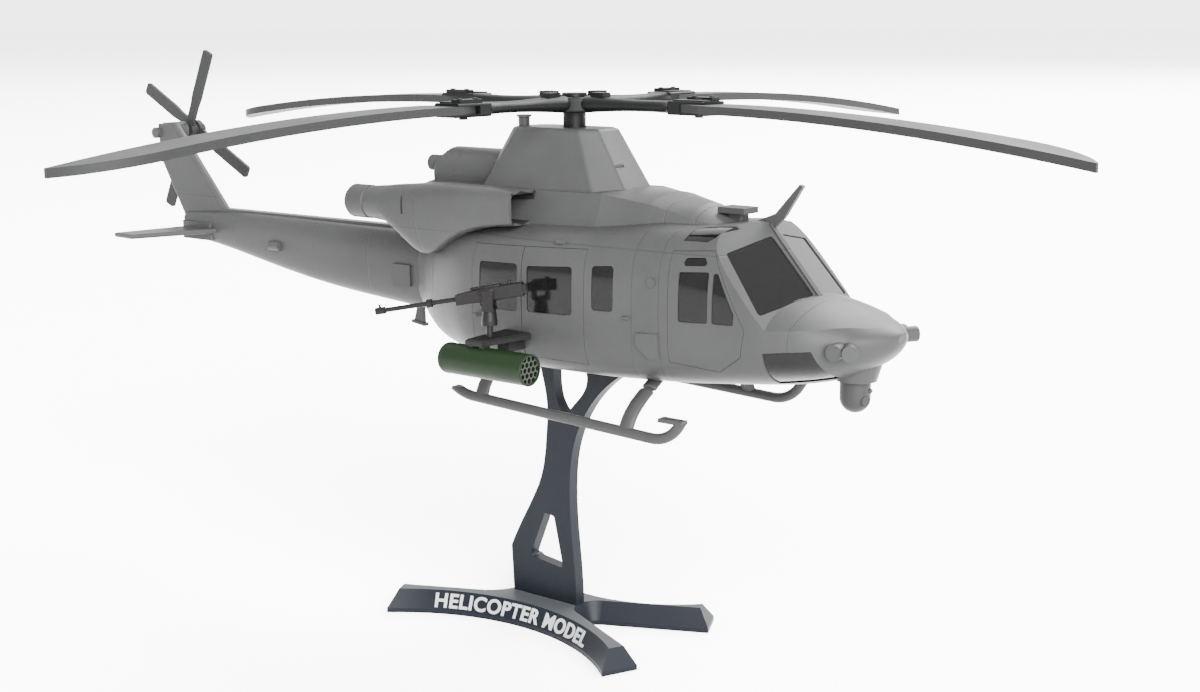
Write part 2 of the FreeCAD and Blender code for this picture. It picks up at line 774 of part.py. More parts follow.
def pylon(cowl):
    body = pylon_body()
    lobe = Part.makeCylinder(lobe_radius, 30.0, V(lobe_rear_x, 0, lobe_centre_z), X_AXIS)
    lobe = lobe.makeFillet(2.0, [e for e in lobe.Edges if abs(e.BoundBox.XMax - lobe_rear_x) < 1e-3
                                 and e.BoundBox.XLength < 1e-3])
    lobe = lobe.cut(prism_y([(lobe_rear_x - 1.0, lobe_centre_z - 1.0),
                             (lobe_rear_x + 4.6, lobe_centre_z + 9.0),
                             (lobe_rear_x - 1.0, lobe_centre_z + 9.0)], -20.0, 20.0))
    skirt = box(lobe_rear_x + 2.4, -21.0, -lobe_radius, lobe_radius, pylon_foot_z - 2.0, lobe_centre_z)
    stub = cylinder(stub_radius, V(stub_rear_x, -3.0, 52.4), V(lobe_rear_x + 8.0, -3.0, 52.4))
    lobe = lobe.fuse([skirt, stub]).removeSplitter().cut(body)
    clear = box(-BIG, BIG, -BIG, BIG, -BIG, pylon_foot_z - 1.5)
    lobe = lobe.cut(clear).cut(cowl)
    body = body.cut(cowl)
    bore = cylinder(spindle_radius + running_fit, V(0, 0, 0), V(0, 0, pylon_top_z + 5.0))
    spot = cylinder(mast_radius + loose_gap, V(0, 0, pylon_top_z - 1.6), V(0, 0, pylon_top_z + 5.0))
    vent = box(17.4, 24.0, -5.0, -1.2, pylon_foot_z + 6.6, pylon_foot_z + 7.6)
    body = body.cut(bore).cut(spot).cut(vent)
    keep("pylon_fairing", body)
    keep("gearbox_lobe", lobe)


def nacelles(outer, cowl):
    wires = [station(*row) for row in NACELLE]
    body = loft(wires)
    hollow_rows = [row for row in NACELLE if row[0] >= -intake_depth]
    front = hollow_rows[0]
    duct = box(front[0] - intake_depth, front[0] + 1.0,
               front[1] - front[2] + intake_wall, front[1] + front[2] - intake_wall - 0.6,
               front[3] + intake_wall, front[5] - intake_wall)
    long_edges = [e for e in duct.Edges if e.BoundBox.XLength > intake_depth]
    duct = duct.makeFillet(1.2, long_edges)
    slot = box(-43.2, -42.4, -30.0, -23.6, 39.8, 44.8)
    body = body.cut(outer).cut(cowl).cut(duct).cut(slot)
    body = max(body.Solids, key=lambda s: s.Volume)
    keep("nacelle_right", body)
    keep("nacelle_left", mirrored(body))
    rear_x = NACELLE[-1][0]
    mouth_x = rear_x - exhaust_length + 1.5
    ring_x = mouth_x + exhaust_ring_from_mouth
    y, z = exhaust_centre.y, exhaust_centre.z
    profile = [(rear_x, exhaust_radius), (ring_x + 0.3, exhaust_mouth_radius - 0.15),
               (ring_x, exhaust_mouth_radius - 0.45), (ring_x - 0.3, exhaust_mouth_radius),
               (mouth_x + 1.0, exhaust_mouth_radius), (mouth_x, exhaust_mouth_radius - 0.7)]
    points = [V(x, y, z + r) for x, r in profile]
    inside = [V(mouth_x, y, z + exhaust_mouth_radius - 0.7 - exhaust_wall),
              V(rear_x - 1.0, y, z + exhaust_mouth_radius - 0.7 - exhaust_wall),
              V(rear_x - 1.0, y, z), V(rear_x, y, z)]
    pipe = face_of(points + inside).revolve(V(0, y, z), X_AXIS, 360)
    keep("exhaust_pipes", both_sides(solids_only(pipe)))


def roof_fittings(outer, cowl):
    floor = 36.0
    foot = box(51.0, 55.6, -1.9, 1.9, floor, 44.4)
    foot = foot.makeFillet(0.8, [e for e in foot.Edges if e.BoundBox.ZLength > 5.0])
    plate = box(49.0, 57.4, -3.3, 3.3, 44.4, 45.9)
    plate = plate.makeFillet(0.4, [e for e in plate.Edges if e.BoundBox.ZLength > 0.9])
    keep("roof_antenna", foot.fuse(plate).removeSplitter().cut(outer).cut(cowl))
    blade = prism_y([(57.8, 42.2), (64.8, 45.0), (71.6, 52.6), (72.6, 52.2), (67.6, 44.4), (64.5, 41.5),
                     (60.0, 39.5)], -0.7, 0.7)
    keep("wire_cutter", blade.cut(outer).cut(finished("windscreen_post")))
    post_x = -18.0
    post_top_z = 67.0
    shaft = cylinder(1.6, V(post_x, 0, pylon_top_z - 4.0), V(post_x, 0, post_top_z - 0.6))
    cap = cylinder(2.1, V(post_x, 0, post_top_z - 0.6), V(post_x, 0, post_top_z))
    keep("mast_post", shaft.fuse(cap).removeSplitter().cut(finished("pylon_fairing")))


# ---------------------------------------------------------------------- tail
def tail(outer, cowl):
    wires = [station(x, 0.0, w, zb, zw, zt, boom_fullness, boom_fullness) for x, w, zb, zw, zt in BOOM]
    boom = loft(wires).cut(outer).cut(cowl)
    boom = max(boom.Solids, key=lambda s: s.Volume)
    fin_plan = [(fin_foot_front_x, fin_foot_z), (fin_top_front_x, fin_top_z),
                (fin_top_rear_x, fin_top_z - 0.6), (fin_top_rear_x + 0.6, fin_top_z - 12.0),
                (fin_foot_rear_x, fin_foot_z)]
    half = 0.5 * fin_thickness
    fin = prism_y(fin_plan, -half, half)
    upright_edges = [e for e in fin.Edges if e.BoundBox.YLength < 1e-6 and e.BoundBox.ZLength > 5.0]
    fin = fin.makeFillet(half * 0.8, upright_edges)
    fin = fin.cut(boom)
    hub_z = tail_rotor_z
    housing = cylinder(gearbox_radius, V(tail_rotor_x, 4.4, hub_z),
                       V(tail_rotor_x, tail_rotor_inner_y - 2.2, hub_z))
    neck = cylinder(gearbox_radius - 0.5, V(fin_top_rear_x + 2.4, 0.4, hub_z), V(tail_rotor_x, 8.0, hub_z))
    bump = cylinder(gearbox_radius - 1.2, V(fin_top_rear_x + 0.4, -half - 1.2, hub_z),
                    V(fin_top_rear_x + 0.4, 1.0, hub_z))
    housing = housing.fuse([neck, bump]).removeSplitter()
    housing = housing.cut(cylinder(tail_shaft_radius + running_fit,
                                   V(tail_rotor_x, tail_shaft_inner_y - 0.3, hub_z),
                                   V(tail_rotor_x, 40, hub_z)))
    fin = fin.cut(housing)
    keep("tail_fin", max(fin.Solids, key=lambda s: s.Volume))
    keep("tail_gearbox", housing)
    keep("tail_boom", boom)
    spine = []
    for x, z in ((spine_front_x, 31.9), (spine_rear_x, 31.6)):
        w = 0.5 * spine_width
        spine.append(Part.makePolygon([V(x, -w, z - 3.0), V(x, -w + 0.5, z + spine_rise),
                                       V(x, w - 0.5, z + spine_rise),
                                       V(x, w, z - 3.0), V(x, -w, z - 3.0)]))
    strip = loft(spine, True).cut(outer).cut(cowl).cut(finished("tail_boom")).cut(fin)
    keep("spine_cover", max(strip.Solids, key=lambda s: s.Volume))
    z = stabiliser_z
    t = 0.5 * stabiliser_thickness
    s = stabiliser_half_span
    plan = [(stabiliser_root_front_x, -3.0), (stabiliser_tip_front_x, -s),
            (stabiliser_tip_rear_x, -s + 0.8),
            (stabiliser_root_rear_x, -3.0), (stabiliser_root_rear_x, 3.0), (stabiliser_tip_rear_x, s - 0.8),
            (stabiliser_tip_front_x, s), (stabiliser_root_front_x, 3.0)]
    plane = prism_z(plan, z - t, z + t)
    rims = [e for e in plane.Edges if e.BoundBox.ZLength < 1e-6]
    plane = plane.makeFillet(t * 0.7, rims)
    root = box(-165.5, -150.5, -4.6, 4.6, z - 3.4, z + 2.4)
    root = root.makeFillet(1.2, [e for e in root.Edges if e.BoundBox.ZLength > 3.0])
    plane = plane.fuse(root).removeSplitter().cut(finished("tail_boom")).cut(fin)
    keep("stabiliser", plane)


# --------------------------------------------------------------------- skids
def skid_height(x):
    """Middle of the skid tube's straight part at x."""
    return skid_rear_z - (x - skid_rear_x) * math.tan(math.radians(skid_slope))


def skid(side):
    """One skid tube: raised heel, long straight, raised toe cut off level under a small plate."""
    a = math.radians(skid_front_bend)
    b = math.radians(skid_rear_bend)
    r = skid_front_bend_radius
    q = skid_rear_bend_radius
    y = side * skid_y
    slope = math.radians(skid_slope)
    straight = (skid_front_x - skid_rear_x) / math.cos(slope)

    def at(u, w):
        """u along the straight part from its rear end, w square to it, upwards."""
        return V(skid_rear_x + u * math.cos(slope) + w * math.sin(slope), y,
                 skid_rear_z - u * math.sin(slope) + w * math.cos(slope))

    def front(t):
        return at(straight + r * math.sin(t), r * (1 - math.cos(t)))

    def rear(t):
        return at(-q * math.sin(t), q * (1 - math.cos(t)))

    toe = at(straight + r * math.sin(a) + 6.0 * math.cos(a), r * (1 - math.cos(a)) + 6.0 * math.sin(a))
    edges = [Part.Arc(rear(b), rear(b / 2), rear(0)).toShape(),
             Part.makeLine(rear(0), front(0)),
             Part.Arc(front(0), front(a / 2), front(a)).toShape(),
             Part.makeLine(front(a), toe)]
    path = Part.Wire(edges)
    heading = V(math.cos(b + slope), 0, -math.sin(b + slope))
    section = Part.Wire([Part.Circle(rear(b), heading, skid_radius).toShape()])
    tube = path.makePipeShell([section], True, False)
    tube = tube.cut(box(-BIG, BIG, -BIG, BIG, skid_toe_z, skid_toe_z + BIG))
    x_from, x_to, thickness = skid_toe_plate
    plate = box(x_from, x_to, y - skid_radius, y + skid_radius, skid_toe_z, skid_toe_z + thickness)
    return tube.fuse(plate).removeSplitter()


def leg(x, side, lean, outer, tube):
    """One curved strut of flattened section from the belly down to the skid."""
    s = side
    z = skid_height(x)
    points = [V(x, s * skid_y, z), V(x - lean * 0.2, s * (skid_y - 1.0), z + 2.4),
              V(x - lean * 0.6, s * (skid_y - 4.6), z + 6.2), V(x - lean, s * 15.0, 2.2)]
    curve = spline(points)
    start = points[0]
    tangent = curve.tangentAt(curve.FirstParameter)
    across = tangent.cross(X_AXIS).normalize()
    ellipse = Part.Ellipse(start.add(X_AXIS * (0.5 * leg_chord)),
                           start.add(across * (0.5 * leg_thickness)), start)
    strut = Part.Wire([curve]).makePipeShell([Part.Wire([ellipse.toShape()])], True, True)
    return solids_only(strut.cut(outer).cut(tube))


def landing_gear(outer):
    right = skid(-1)
    left = skid(1)
    keep("skid_right", right)
    keep("skid_left", left)
    keep("skid_legs_front", Part.makeCompound([leg(front_leg_x, -1, 0.0, outer, right),
                                               leg(front_leg_x, 1, 0.0, outer, left)]))
    keep("skid_legs_rear", Part.makeCompound([leg(rear_leg_x, -1, 1.0, outer, right),
                                              leg(rear_leg_x, 1, 1.0, outer, left)]))


# ------------------------------------------------------------------- weapons
def pod_pattern():
    """Centres of the tubes: one in the middle, a ring of six and a ring of twelve."""
    places = [(0.0, 0.0)]
    for q in range(-2, 3):
        for r in range(-2, 3):
            if abs(q + r) <= 2 and (q, r) != (0, 0):
                places.append((pod_tube_pitch * (q + 0.5 * r), pod_tube_pitch * r * math.sqrt(3) / 2))
    return places


def rocket_pods():
    rear = pod_front_x - pod_length
    y, z = -pod_y, pod_z
    tube = cylinder(pod_radius, V(rear, y, z), V(pod_front_x, y, z))
    tube = tube.makeFillet(1.1, [e for e in tube.Edges if e.BoundBox.XMax < rear + 1e-3])
    bore = cylinder(pod_radius - pod_wall, V(rear + 2.4, y, z), V(pod_front_x + 1, y, z))
    tube = tube.cut(bore)
    keep("pod_tube_right", tube)
    keep("pod_tube_left", mirrored(tube))
    face = cylinder(pod_radius - pod_wall, V(pod_front_x - 6.0, y, z),
                    V(pod_front_x - pod_bulkhead_recess, y, z))
    for a, b in pod_pattern():
        face = face.cut(cylinder(pod_tube_radius, V(pod_front_x - 5.0, y + a, z + b),
                                 V(pod_front_x + 1, y + a, z + b)))
    keep("pod_bulkheads", both_sides(face))


def arm_top():
    return pod_z + pod_radius + arm_gap_to_pod + arm_thickness


def weapon_arms(outer):
    low = arm_top() - arm_thickness
    plate = prism_z([(arm_rear_x, -arm_outer_y), (arm_front_x - 1.6, -arm_outer_y),
                     (arm_front_x + 1.2, -24.0),
                     (arm_rear_x - 1.4, -24.0)], low, arm_top())
    plate = plate.makeChamfer(0.5, [e for e in plate.Edges if e.BoundBox.ZLength < 1e-6
                                    and e.BoundBox.ZMin > arm_top() - 1e-3])
    web = box(arm_rear_x + 1.8, arm_front_x - 1.8, -33.0, -24.0, low - 3.0, low)
    lugs = []
    for x in (arm_rear_x + 0.5, arm_front_x - 3.0):
        lugs.append(box(x, x + 1.8, -pod_y - 1.2, -pod_y + 1.2, pod_z + pod_radius - 0.4, low))
    arm = plate.fuse([web] + lugs).removeSplitter()
    arm = arm.cut(outer).cut(finished("pod_tube_right"))
    pin = cylinder(pintle_radius, V(pintle_x, -pintle_y, low),
                   V(pintle_x, -pintle_y, arm_top() + pintle_height))
    arm = arm.fuse(pin).removeSplitter()
    arm = solids_only(arm)
    keep("weapon_arm_right", arm)
    keep("weapon_arm_left", mirrored(arm))


def turn_gun(shape):
    """From drawn pointing straight aft to its resting direction on the right-hand side."""
    shape = shape.copy()
    shape.rotate(V(0, 0, 0), Y_AXIS, -gun_droop_angle)
    shape.rotate(V(0, 0, 0), Z_AXIS, gun_aft_angle)
    shape.translate(V(pintle_x, -pintle_y, gun_axis_z))
    return shape


def guns():
    foot_z = arm_top() + cradle_foot_rise
    top_z = gun_axis_z - receiver_height * 0.5 - 0.2
    cradle = cone(cradle_foot_radius, cradle_top_radius + 0.5, V(0, 0, foot_z + 1.2), V(0, 0, top_z - 1.8))
    cradle = cradle.fuse(cylinder(cradle_foot_radius, V(0, 0, foot_z), V(0, 0, foot_z + 1.2)))
    cradle = cradle.fuse(box(-1.6, 1.6, -2.3, 2.3, top_z - 2.4, top_z - 1.4))
    for s in (-1, 1):
        y1 = s * (0.5 * receiver_width + 0.3)
        y2 = s * (0.5 * receiver_width + 0.95)
        cradle = cradle.fuse(box(-1.4, 1.4, min(y1, y2), max(y1, y2), top_z - 2.0, gun_axis_z + 0.9))
    pin_hole = cylinder(pintle_radius + running_fit, V(0, 0, foot_z - 1),
                        V(0, 0, arm_top() + pintle_height + running_fit))
    cross_hole = cylinder(trunnion_radius + running_fit, V(0, -5, gun_axis_z), V(0, 5, gun_axis_z))
    cradle = cradle.removeSplitter().cut(pin_hole).cut(cross_hole)
    cradle.rotate(V(0, 0, 0), Z_AXIS, gun_aft_angle)
    cradle.translate(V(pintle_x, -pintle_y, 0))
    keep("gun_cradle_right", cradle)
    keep("gun_cradle_left", mirrored(cradle))
    w = 0.5 * receiver_width
    h = 0.5 * receiver_height
    back = 9.2
    body = box(back - receiver_length, back, -w, w, -h, h)
    body = body.makeFillet(0.35, [e for e in body.Edges if e.BoundBox.XLength > 5.0])
    body = body.cut(prism_y([(back - receiver_length - 1, h - 0.9), (back - receiver_length - 1, h + 1),
                             (back - receiver_length + 8.0, h + 1), (back - receiver_length + 8.0, h)],
                             -5, 5))
    trunnion = cylinder(trunnion_radius, V(0, -w - 0.9, 0), V(0, w + 0.9, 0))
    barrel_start = back - receiver_length
    barrel = cylinder(barrel_radius, V(barrel_start + 1.0, 0, -0.2),
                      V(barrel_start - barrel_length, 0, -0.2))
    sleeve = cylinder(barrel_radius + 0.32, V(barrel_start - barrel_length, 0, -0.2),
                      V(barrel_start - barrel_length + 2.6, 0, -0.2))
    collar = cylinder(barrel_radius + 0.5, V(barrel_start - 8.0, 0, -0.2), V(barrel_start - 6.6, 0, -0.2))
    bore = cylinder(0.35, V(barrel_start - barrel_length - 1, 0, -0.2),
                    V(barrel_start - barrel_length + 3, 0, -0.2))
    spade = box(back, back + 0.9, -1.1, -0.7, -1.2, 1.2).fuse(box(back, back + 0.9, 0.7, 1.1, -1.2, 1.2))
    gun = body.fuse([trunnion, barrel, sleeve, collar, spade]).removeSplitter().cut(bore)
    gun = turn_gun(gun)
    keep("door_gun_right", gun)
    keep("door_gun_left", mirrored(gun))


def turret(outer):
    top = turret_top_z
    mount = cone(turret_radius + 1.0, turret_radius + 2.2, V(turret_x, 0, top - 0.6),
                 V(turret_x + 1.0, 0, top + 6.5))
    mount = mount.cut(outer).cut(box(-BIG, BIG, -BIG, BIG, -BIG, top + loose_gap))
    mount = min(mount.Solids, key=lambda s: s.BoundBox.ZMin)
    mount = mount.cut(turret_socket())
    keep("turret_mount", mount)
    head = cylinder(turret_radius, V(turret_x, 0, turret_ball_z), V(turret_x, 0, top))
    head = head.fuse(Part.makeSphere(turret_radius, V(turret_x, 0, turret_ball_z))).removeSplitter()
    spigot = cylinder(turret_spigot_radius, V(turret_x, 0, top - 0.5),
                      V(turret_x, 0, top + turret_spigot_length))
    head = head.fuse(spigot).removeSplitter()
    eye_z = turret_ball_z - 0.4
    eye = cylinder(turret_lens_radius, V(turret_x + turret_radius - 1.0, 0, eye_z),
                   V(turret_x + turret_radius + 0.1, 0, eye_z))
    small = cylinder(0.6, V(turret_x + turret_radius - 1.0, 1.6, eye_z + 2.4),
                     V(turret_x + turret_radius, 1.6, eye_z + 2.4))
    for lens in (eye, small):
        lens.rotate(V(turret_x, 0, 0), Z_AXIS, turret_lens_angle)
    keep("turret_head", head.cut(eye).cut(small))
    keep("turret_lenses", Part.makeCompound([eye, small]))


def nose_fittings(outer):
    sensors = []
    for angle in (-58.0, -82.0):
        d = V(math.cos(math.radians(angle)), math.sin(math.radians(angle)), 0)
        middle = V(92.6 - 1.6 * (angle < -70), -11.4, 15.3)
        piece = cylinder(sensor_radius, middle, middle.add(d * (sensor_length + 2.0)))
        sensors.append(piece)
    pair = sensors[0].fuse(sensors[1]).removeSplitter().cut(outer)
    pair = max(pair.Solids, key=lambda s: s.Volume)
    keep("nose_sensors", both_sides(pair))


def largest(shape):
    return max(shape.Solids, key=lambda s: s.Volume)


def side_fittings(outer):
    """Raised covers and small fittings on the fuselage and the boom."""
    boom = finished("tail_boom")
    cover = prism_y([(40.0, 12.4), (40.0, 15.6), (46.8, 15.9), (46.8, 9.1), (43.4, 9.1)], -40.0, -15.0)
    cover = largest(cover.common(hull(-cover_rise)).cut(outer))
    boom_cover = box(-62.2, -55.2, -9.0, -7.0, 16.1, 22.4).cut(boom).cut(outer)
    boom_cover = largest(boom_cover)
    keep("hatch_covers", Part.makeCompound([cover, mirrored(cover), boom_cover, mirrored(boom_cover)]))
    plug = cylinder(1.2, V(44.4, -25.8, 28.6), V(44.4, -20.0, 28.6))
    discs = [largest(shape.cut(outer)) for shape in (plug, mirrored(plug))]
    lamp = solids_only(cylinder(0.7, V(13.6, -24.4, 36.4), V(16.2, -24.4, 36.4)).cut(outer))
    scoop = largest(cylinder(1.5, V(-119.5, -6.0, 22.9), V(-114.8, -6.0, 22.9)).cut(boom))
    aerial = prism_y([(-62.0, 4.2), (-58.2, 3.6), (-58.4, 8.8), (-60.6, 9.0)], -0.6, 0.6)
    aerial = aerial.fuse(prism_y([(-63.0, 3.6), (-57.6, 2.8), (-57.6, 3.6), (-62.6, 4.4)], -1.0, 1.0))
    aerial = aerial.fuse(box(-61.2, -59.0, -0.6, 0.6, 8.0, 12.0)).removeSplitter()
    aerial = aerial.cut(outer).cut(boom)
    aerial = min(aerial.Solids, key=lambda s: s.BoundBox.ZMin)
    keep("side_fittings", Part.makeCompound(discs + [lamp, mirrored(lamp), scoop, mirrored(scoop), aerial]))


# -------------------------------------------------------------------- rotors
def blade(angle):
    """One drooping main blade, flat below, with its leading edge swept to the tip."""
    r0 = blade_root_radius
    r1 = rotor_radius
    half = 0.5 * blade_thickness
    z = hub_height

    def droop(r):
        t = (r - bend) / (r1 - bend)
        return blade_droop * t ** 1.9

    bend = cuff_end_radius + 1.0
    stations = [bend + (r1 - bend) * k / 8.0 for k in range(9)]
    edges = [Part.makeLine(V(r0, 0, z + half), V(bend, 0, z + half)),
             spline([V(r, 0, z + half - droop(r)) for r in stations]),
             Part.makeLine(V(r1, 0, z + half - blade_droop), V(r1, 0, z - half - blade_droop)),
             spline([V(r, 0, z - half - droop(r)) for r in reversed(stations)]),
             Part.makeLine(V(bend, 0, z - half), V(r0, 0, z - half)),
             Part.makeLine(V(r0, 0, z - half), V(r0, 0, z + half))]
    side = Part.Face(Part.Wire(edges))
    lead = 0.34 * blade_chord
    trail = -0.66 * blade_chord
    side.translate(V(0, trail - 2.0, 0))
    strip = side.extrude(V(0, blade_chord + 4.0, 0))
    sweep_start = r1 - 1.9 * blade_chord
    tip_arc = Part.Arc(V(sweep_start, lead, 0), V(r1 - 0.72 * blade_chord, lead - 0.26 * blade_chord, 0),
                       V(r1, trail + 1.0, 0)).toShape()
    plan = [Part.makeLine(V(r0, lead - 1.6, 0), V(r0 + 6.0, lead, 0)),
            Part.makeLine(V(r0 + 6.0, lead, 0), V(sweep_start, lead, 0)),
            tip_arc,
            Part.makeLine(V(r1, trail + 1.0, 0), V(r1, trail, 0)),
            Part.makeLine(V(r1, trail, 0), V(r0 + 9.0, trail, 0)),
            Part.makeLine(V(r0 + 9.0, trail, 0), V(r0, trail + 4.2, 0)),
            Part.makeLine(V(r0, trail + 4.2, 0), V(r0, lead - 1.6, 0))]
    prism = Part.Face(Part.Wire(plan)).extrude(V(0, 0, 2.0 * z))
    shape = solids_only(strip.common(prism))
    shape.rotate(V(0, 0, 0), Z_AXIS, angle)
    return shape


def cuff_section(r, width, height, z, square):
    n = 2.0 + square
    points = []
    count = 20
    for k in range(count):
        a = 2.0 * math.pi * (k + 0.5) / count
        c, s = math.cos(a), math.sin(a)
        reach = (abs(c / (0.5 * width)) ** n + abs(s / (0.5 * height)) ** n) ** (-1.0 / n)
        points.append(V(r, reach * c, z + reach * s))
    return closed_curve(points)


def cuff():
    """Flexible yoke arm and blade grip along +X: broad at the hub, slim, then a square clamp."""
    z = hub_height
    rows = [(cuff_root_radius - 1.5, 8.0, 4.4, 0.4), (12.0, 7.4, 3.9, 0.3), (18.0, 5.8, 3.3, 0.2),
            (26.0, 5.2, 3.0, 0.3), (33.0, 6.0, 3.2, 0.8), (36.0, 8.8, 3.6, 2.0)]
    arm = loft([cuff_section(r, w, h, z, q) for r, w, h, q in rows])
    clamp = box(36.0, cuff_end_radius, -4.4, 4.4, z - 1.8, z + 1.8)
    clamp = clamp.makeFillet(0.7, [e for e in clamp.Edges if e.BoundBox.XLength > 5.0])
    arm = arm.fuse(clamp)
    slot = box(blade_root_radius - 0.02, 60.0, -9.0, 9.0,
               z - 0.5 * blade_thickness - 0.02, z + 0.5 * blade_thickness + 0.02)
    return arm.cut(slot)


def main_rotor():
    z = hub_height
    hub = cylinder(hub_radius, V(0, 0, z - 0.5 * hub_depth), V(0, 0, z + 0.5 * hub_depth - 0.6))
    hub = hub.makeFillet(0.7, [e for e in hub.Edges if e.BoundBox.ZLength < 1e-6])
    hub = hub.fuse(cylinder(3.4, V(0, 0, z), V(0, 0, z + 0.5 * hub_depth + 0.5)))
    arms = []
    for k in range(blade_count):
        angle = blade_rest_angle + 360.0 * k / blade_count
        arm = cuff()
        arm.rotate(V(0, 0, 0), Z_AXIS, angle)
        arms.append(arm)
    yoke = hub.fuse(arms)
    mast = cylinder(mast_radius, V(0, 0, pylon_top_z - 1.6 + loose_gap), V(0, 0, z + 0.5 * hub_depth + 0.2))
    spindle = cylinder(spindle_radius, V(0, 0, pylon_top_z - spindle_length), V(0, 0, pylon_top_z))
    mast = mast.fuse(spindle).removeSplitter()
    yoke = yoke.cut(cylinder(mast_radius, V(0, 0, z - 10), V(0, 0, z + 0.5 * hub_depth + 0.2)))
    bolts = []
    for k in range(blade_count):
        angle = blade_rest_angle + 360.0 * k / blade_count
        cap = box(38.4, 46.4, 0.6, 3.8, z + 1.8, z + 2.7)
        root_cap = box(7.2, 11.6, -1.6, 1.6, z + 1.6, z + 3.1)
        pin = cylinder(blade_bolt_radius, V(42.4, 0.6, z - 2.5), V(42.4, 0.6, z + 2.4))
        group = cap.fuse(pin).removeSplitter()
        group.rotate(V(0, 0, 0), Z_AXIS, angle)
        root_cap.rotate(V(0, 0, 0), Z_AXIS, angle)
        bolts.append((group, root_cap))
    pins = [pair[0] for pair in bolts]
    caps = [pair[1] for pair in bolts]
    for pin in pins:
        yoke = yoke.cut(pin)
    caps = [solids_only(cap.cut(yoke)) for cap in caps]
    keep("rotor_mast", mast)
    keep("rotor_hub", yoke.removeSplitter())
    for k in range(blade_count):
        shape = blade(blade_rest_angle + 360.0 * k / blade_count).cut(pins[k])
        keep("main_blade_%d" % (k + 1), shape)
    keep("blade_bolts", Part.makeCompound(pins + caps))


def tail_pair(y, angle):
    half_c = 0.5 * tail_blade_chord
    t = 0.5 * tail_blade_thickness
    bar = box(-tail_rotor_radius, tail_rotor_radius, y - t, y + t, -half_c, half_c)
    bar = bar.makeFillet(0.9,
                         [e for e in bar.Edges if e.BoundBox.YLength > 0.9 and e.BoundBox.XLength < 1e-6])
    waist = []
    for s in (-1, 1):
        for v in (-1, 1):
            waist.append(prism_y([(s * 3.0, v * 1.7), (s * 9.0, v * 1.7), (s * 12.5, v * half_c),
                                  (s * 12.5, v * (half_c + 2)), (s * 3.0, v * (half_c + 2))], y - 2, y + 2))
    for cutter in waist:
        bar = bar.cut(cutter)
    disc = cylinder(tail_hub_radius, V(0, y - t - 0.4, 0), V(0, y + t + 0.4, 0))
    bar = bar.fuse(disc).removeSplitter()
    bar = bar.cut(cylinder(tail_shaft_radius, V(0, y - 5, 0), V(0, y + 5, 0)))
    bar.rotate(V(0, 0, 0), Y_AXIS, -angle)
    bar.translate(V(tail_rotor_x, 0, tail_rotor_z))
    return bar


def tail_rotor():
    y1 = tail_rotor_inner_y
    y2 = y1 + tail_rotor_pair_step
    keep("tail_blades_inner", tail_pair(y1, tail_inner_angle))
    keep("tail_blades_outer", tail_pair(y2, tail_inner_angle + tail_pair_spread))
    centre = V(tail_rotor_x, 0, tail_rotor_z)
    shaft = cylinder(tail_shaft_radius, centre.add(V(0, tail_shaft_inner_y, 0)),
                     centre.add(V(0, y2 + 2.0, 0)))
    spacer_from = y1 + 0.5 * tail_blade_thickness + 0.4
    spacer_to = y2 - 0.5 * tail_blade_thickness - 0.4
    shaft = shaft.fuse(cylinder(tail_hub_radius - 0.8, centre.add(V(0, spacer_from, 0)),
                                centre.add(V(0, spacer_to, 0))))
    nut = cylinder(2.1, centre.add(V(0, y2 + 0.5 * tail_blade_thickness + 0.4, 0)),
                   centre.add(V(0, y2 + 2.4, 0)))
    shaft = shaft.fuse(nut).removeSplitter()
    keep("tail_rotor_shaft", shaft)


def build():
    stand()
    outer, inner = fuselage()
    interior(inner)
    windscreen_post(outer)
    cowl = cowling(outer)
    keep("cowling", cowl.cut(cylinder(spindle_radius + running_fit, V(0, 0, 20), V(0, 0, 80))))
    pylon(cowl)
    nacelles(outer, cowl)
    roof_fittings(outer, cowl)
    tail(outer, cowl)
    landing_gear(outer)
    rocket_pods()
    weapon_arms(outer)
    guns()
    turret(outer)
    nose_fittings(outer)
    side_fittings(outer)
    main_rotor()
    tail_rotor()
    os.makedirs("parts", exist_ok=True)
    for name, shape in NODES.items():
        shape.exportStep("parts/%s.step" % name)
        good = shape.isValid()
        print("%-22s solids %2d  volume %9.1f  %s" % (name, len(shape.Solids), shape.Volume,
                                                      "" if good else "NOT VALID"))
    print(len(NODES), "nodes")


build()
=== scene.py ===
# %% [markdown]
# A scale model of a twin-engine utility helicopter on its forked display stand.
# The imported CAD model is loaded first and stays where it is.
# Every step below then adds finishes, small fitted pieces, light and a camera.
# Lengths are in metres: X towards the nose, Y to the model's left, Z up from the table.

# %%
import bpy
import json
import math
from mathutils import Matrix, Vector

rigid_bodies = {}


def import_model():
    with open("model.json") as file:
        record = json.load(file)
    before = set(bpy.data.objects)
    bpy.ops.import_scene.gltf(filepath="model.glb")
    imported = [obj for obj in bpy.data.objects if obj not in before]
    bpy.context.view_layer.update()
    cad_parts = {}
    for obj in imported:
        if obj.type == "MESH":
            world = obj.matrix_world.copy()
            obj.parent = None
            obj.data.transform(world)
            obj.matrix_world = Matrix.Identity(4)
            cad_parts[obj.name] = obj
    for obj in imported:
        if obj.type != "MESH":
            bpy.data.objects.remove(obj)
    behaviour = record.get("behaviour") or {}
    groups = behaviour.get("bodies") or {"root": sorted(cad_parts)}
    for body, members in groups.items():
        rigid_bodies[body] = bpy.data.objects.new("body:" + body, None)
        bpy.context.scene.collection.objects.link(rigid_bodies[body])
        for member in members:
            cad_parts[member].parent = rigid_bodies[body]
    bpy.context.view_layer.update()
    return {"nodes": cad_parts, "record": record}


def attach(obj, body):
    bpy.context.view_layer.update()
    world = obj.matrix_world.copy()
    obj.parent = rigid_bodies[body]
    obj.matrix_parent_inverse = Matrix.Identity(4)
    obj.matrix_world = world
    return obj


bpy.ops.object.select_all(action="SELECT")
bpy.ops.object.delete()
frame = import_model()
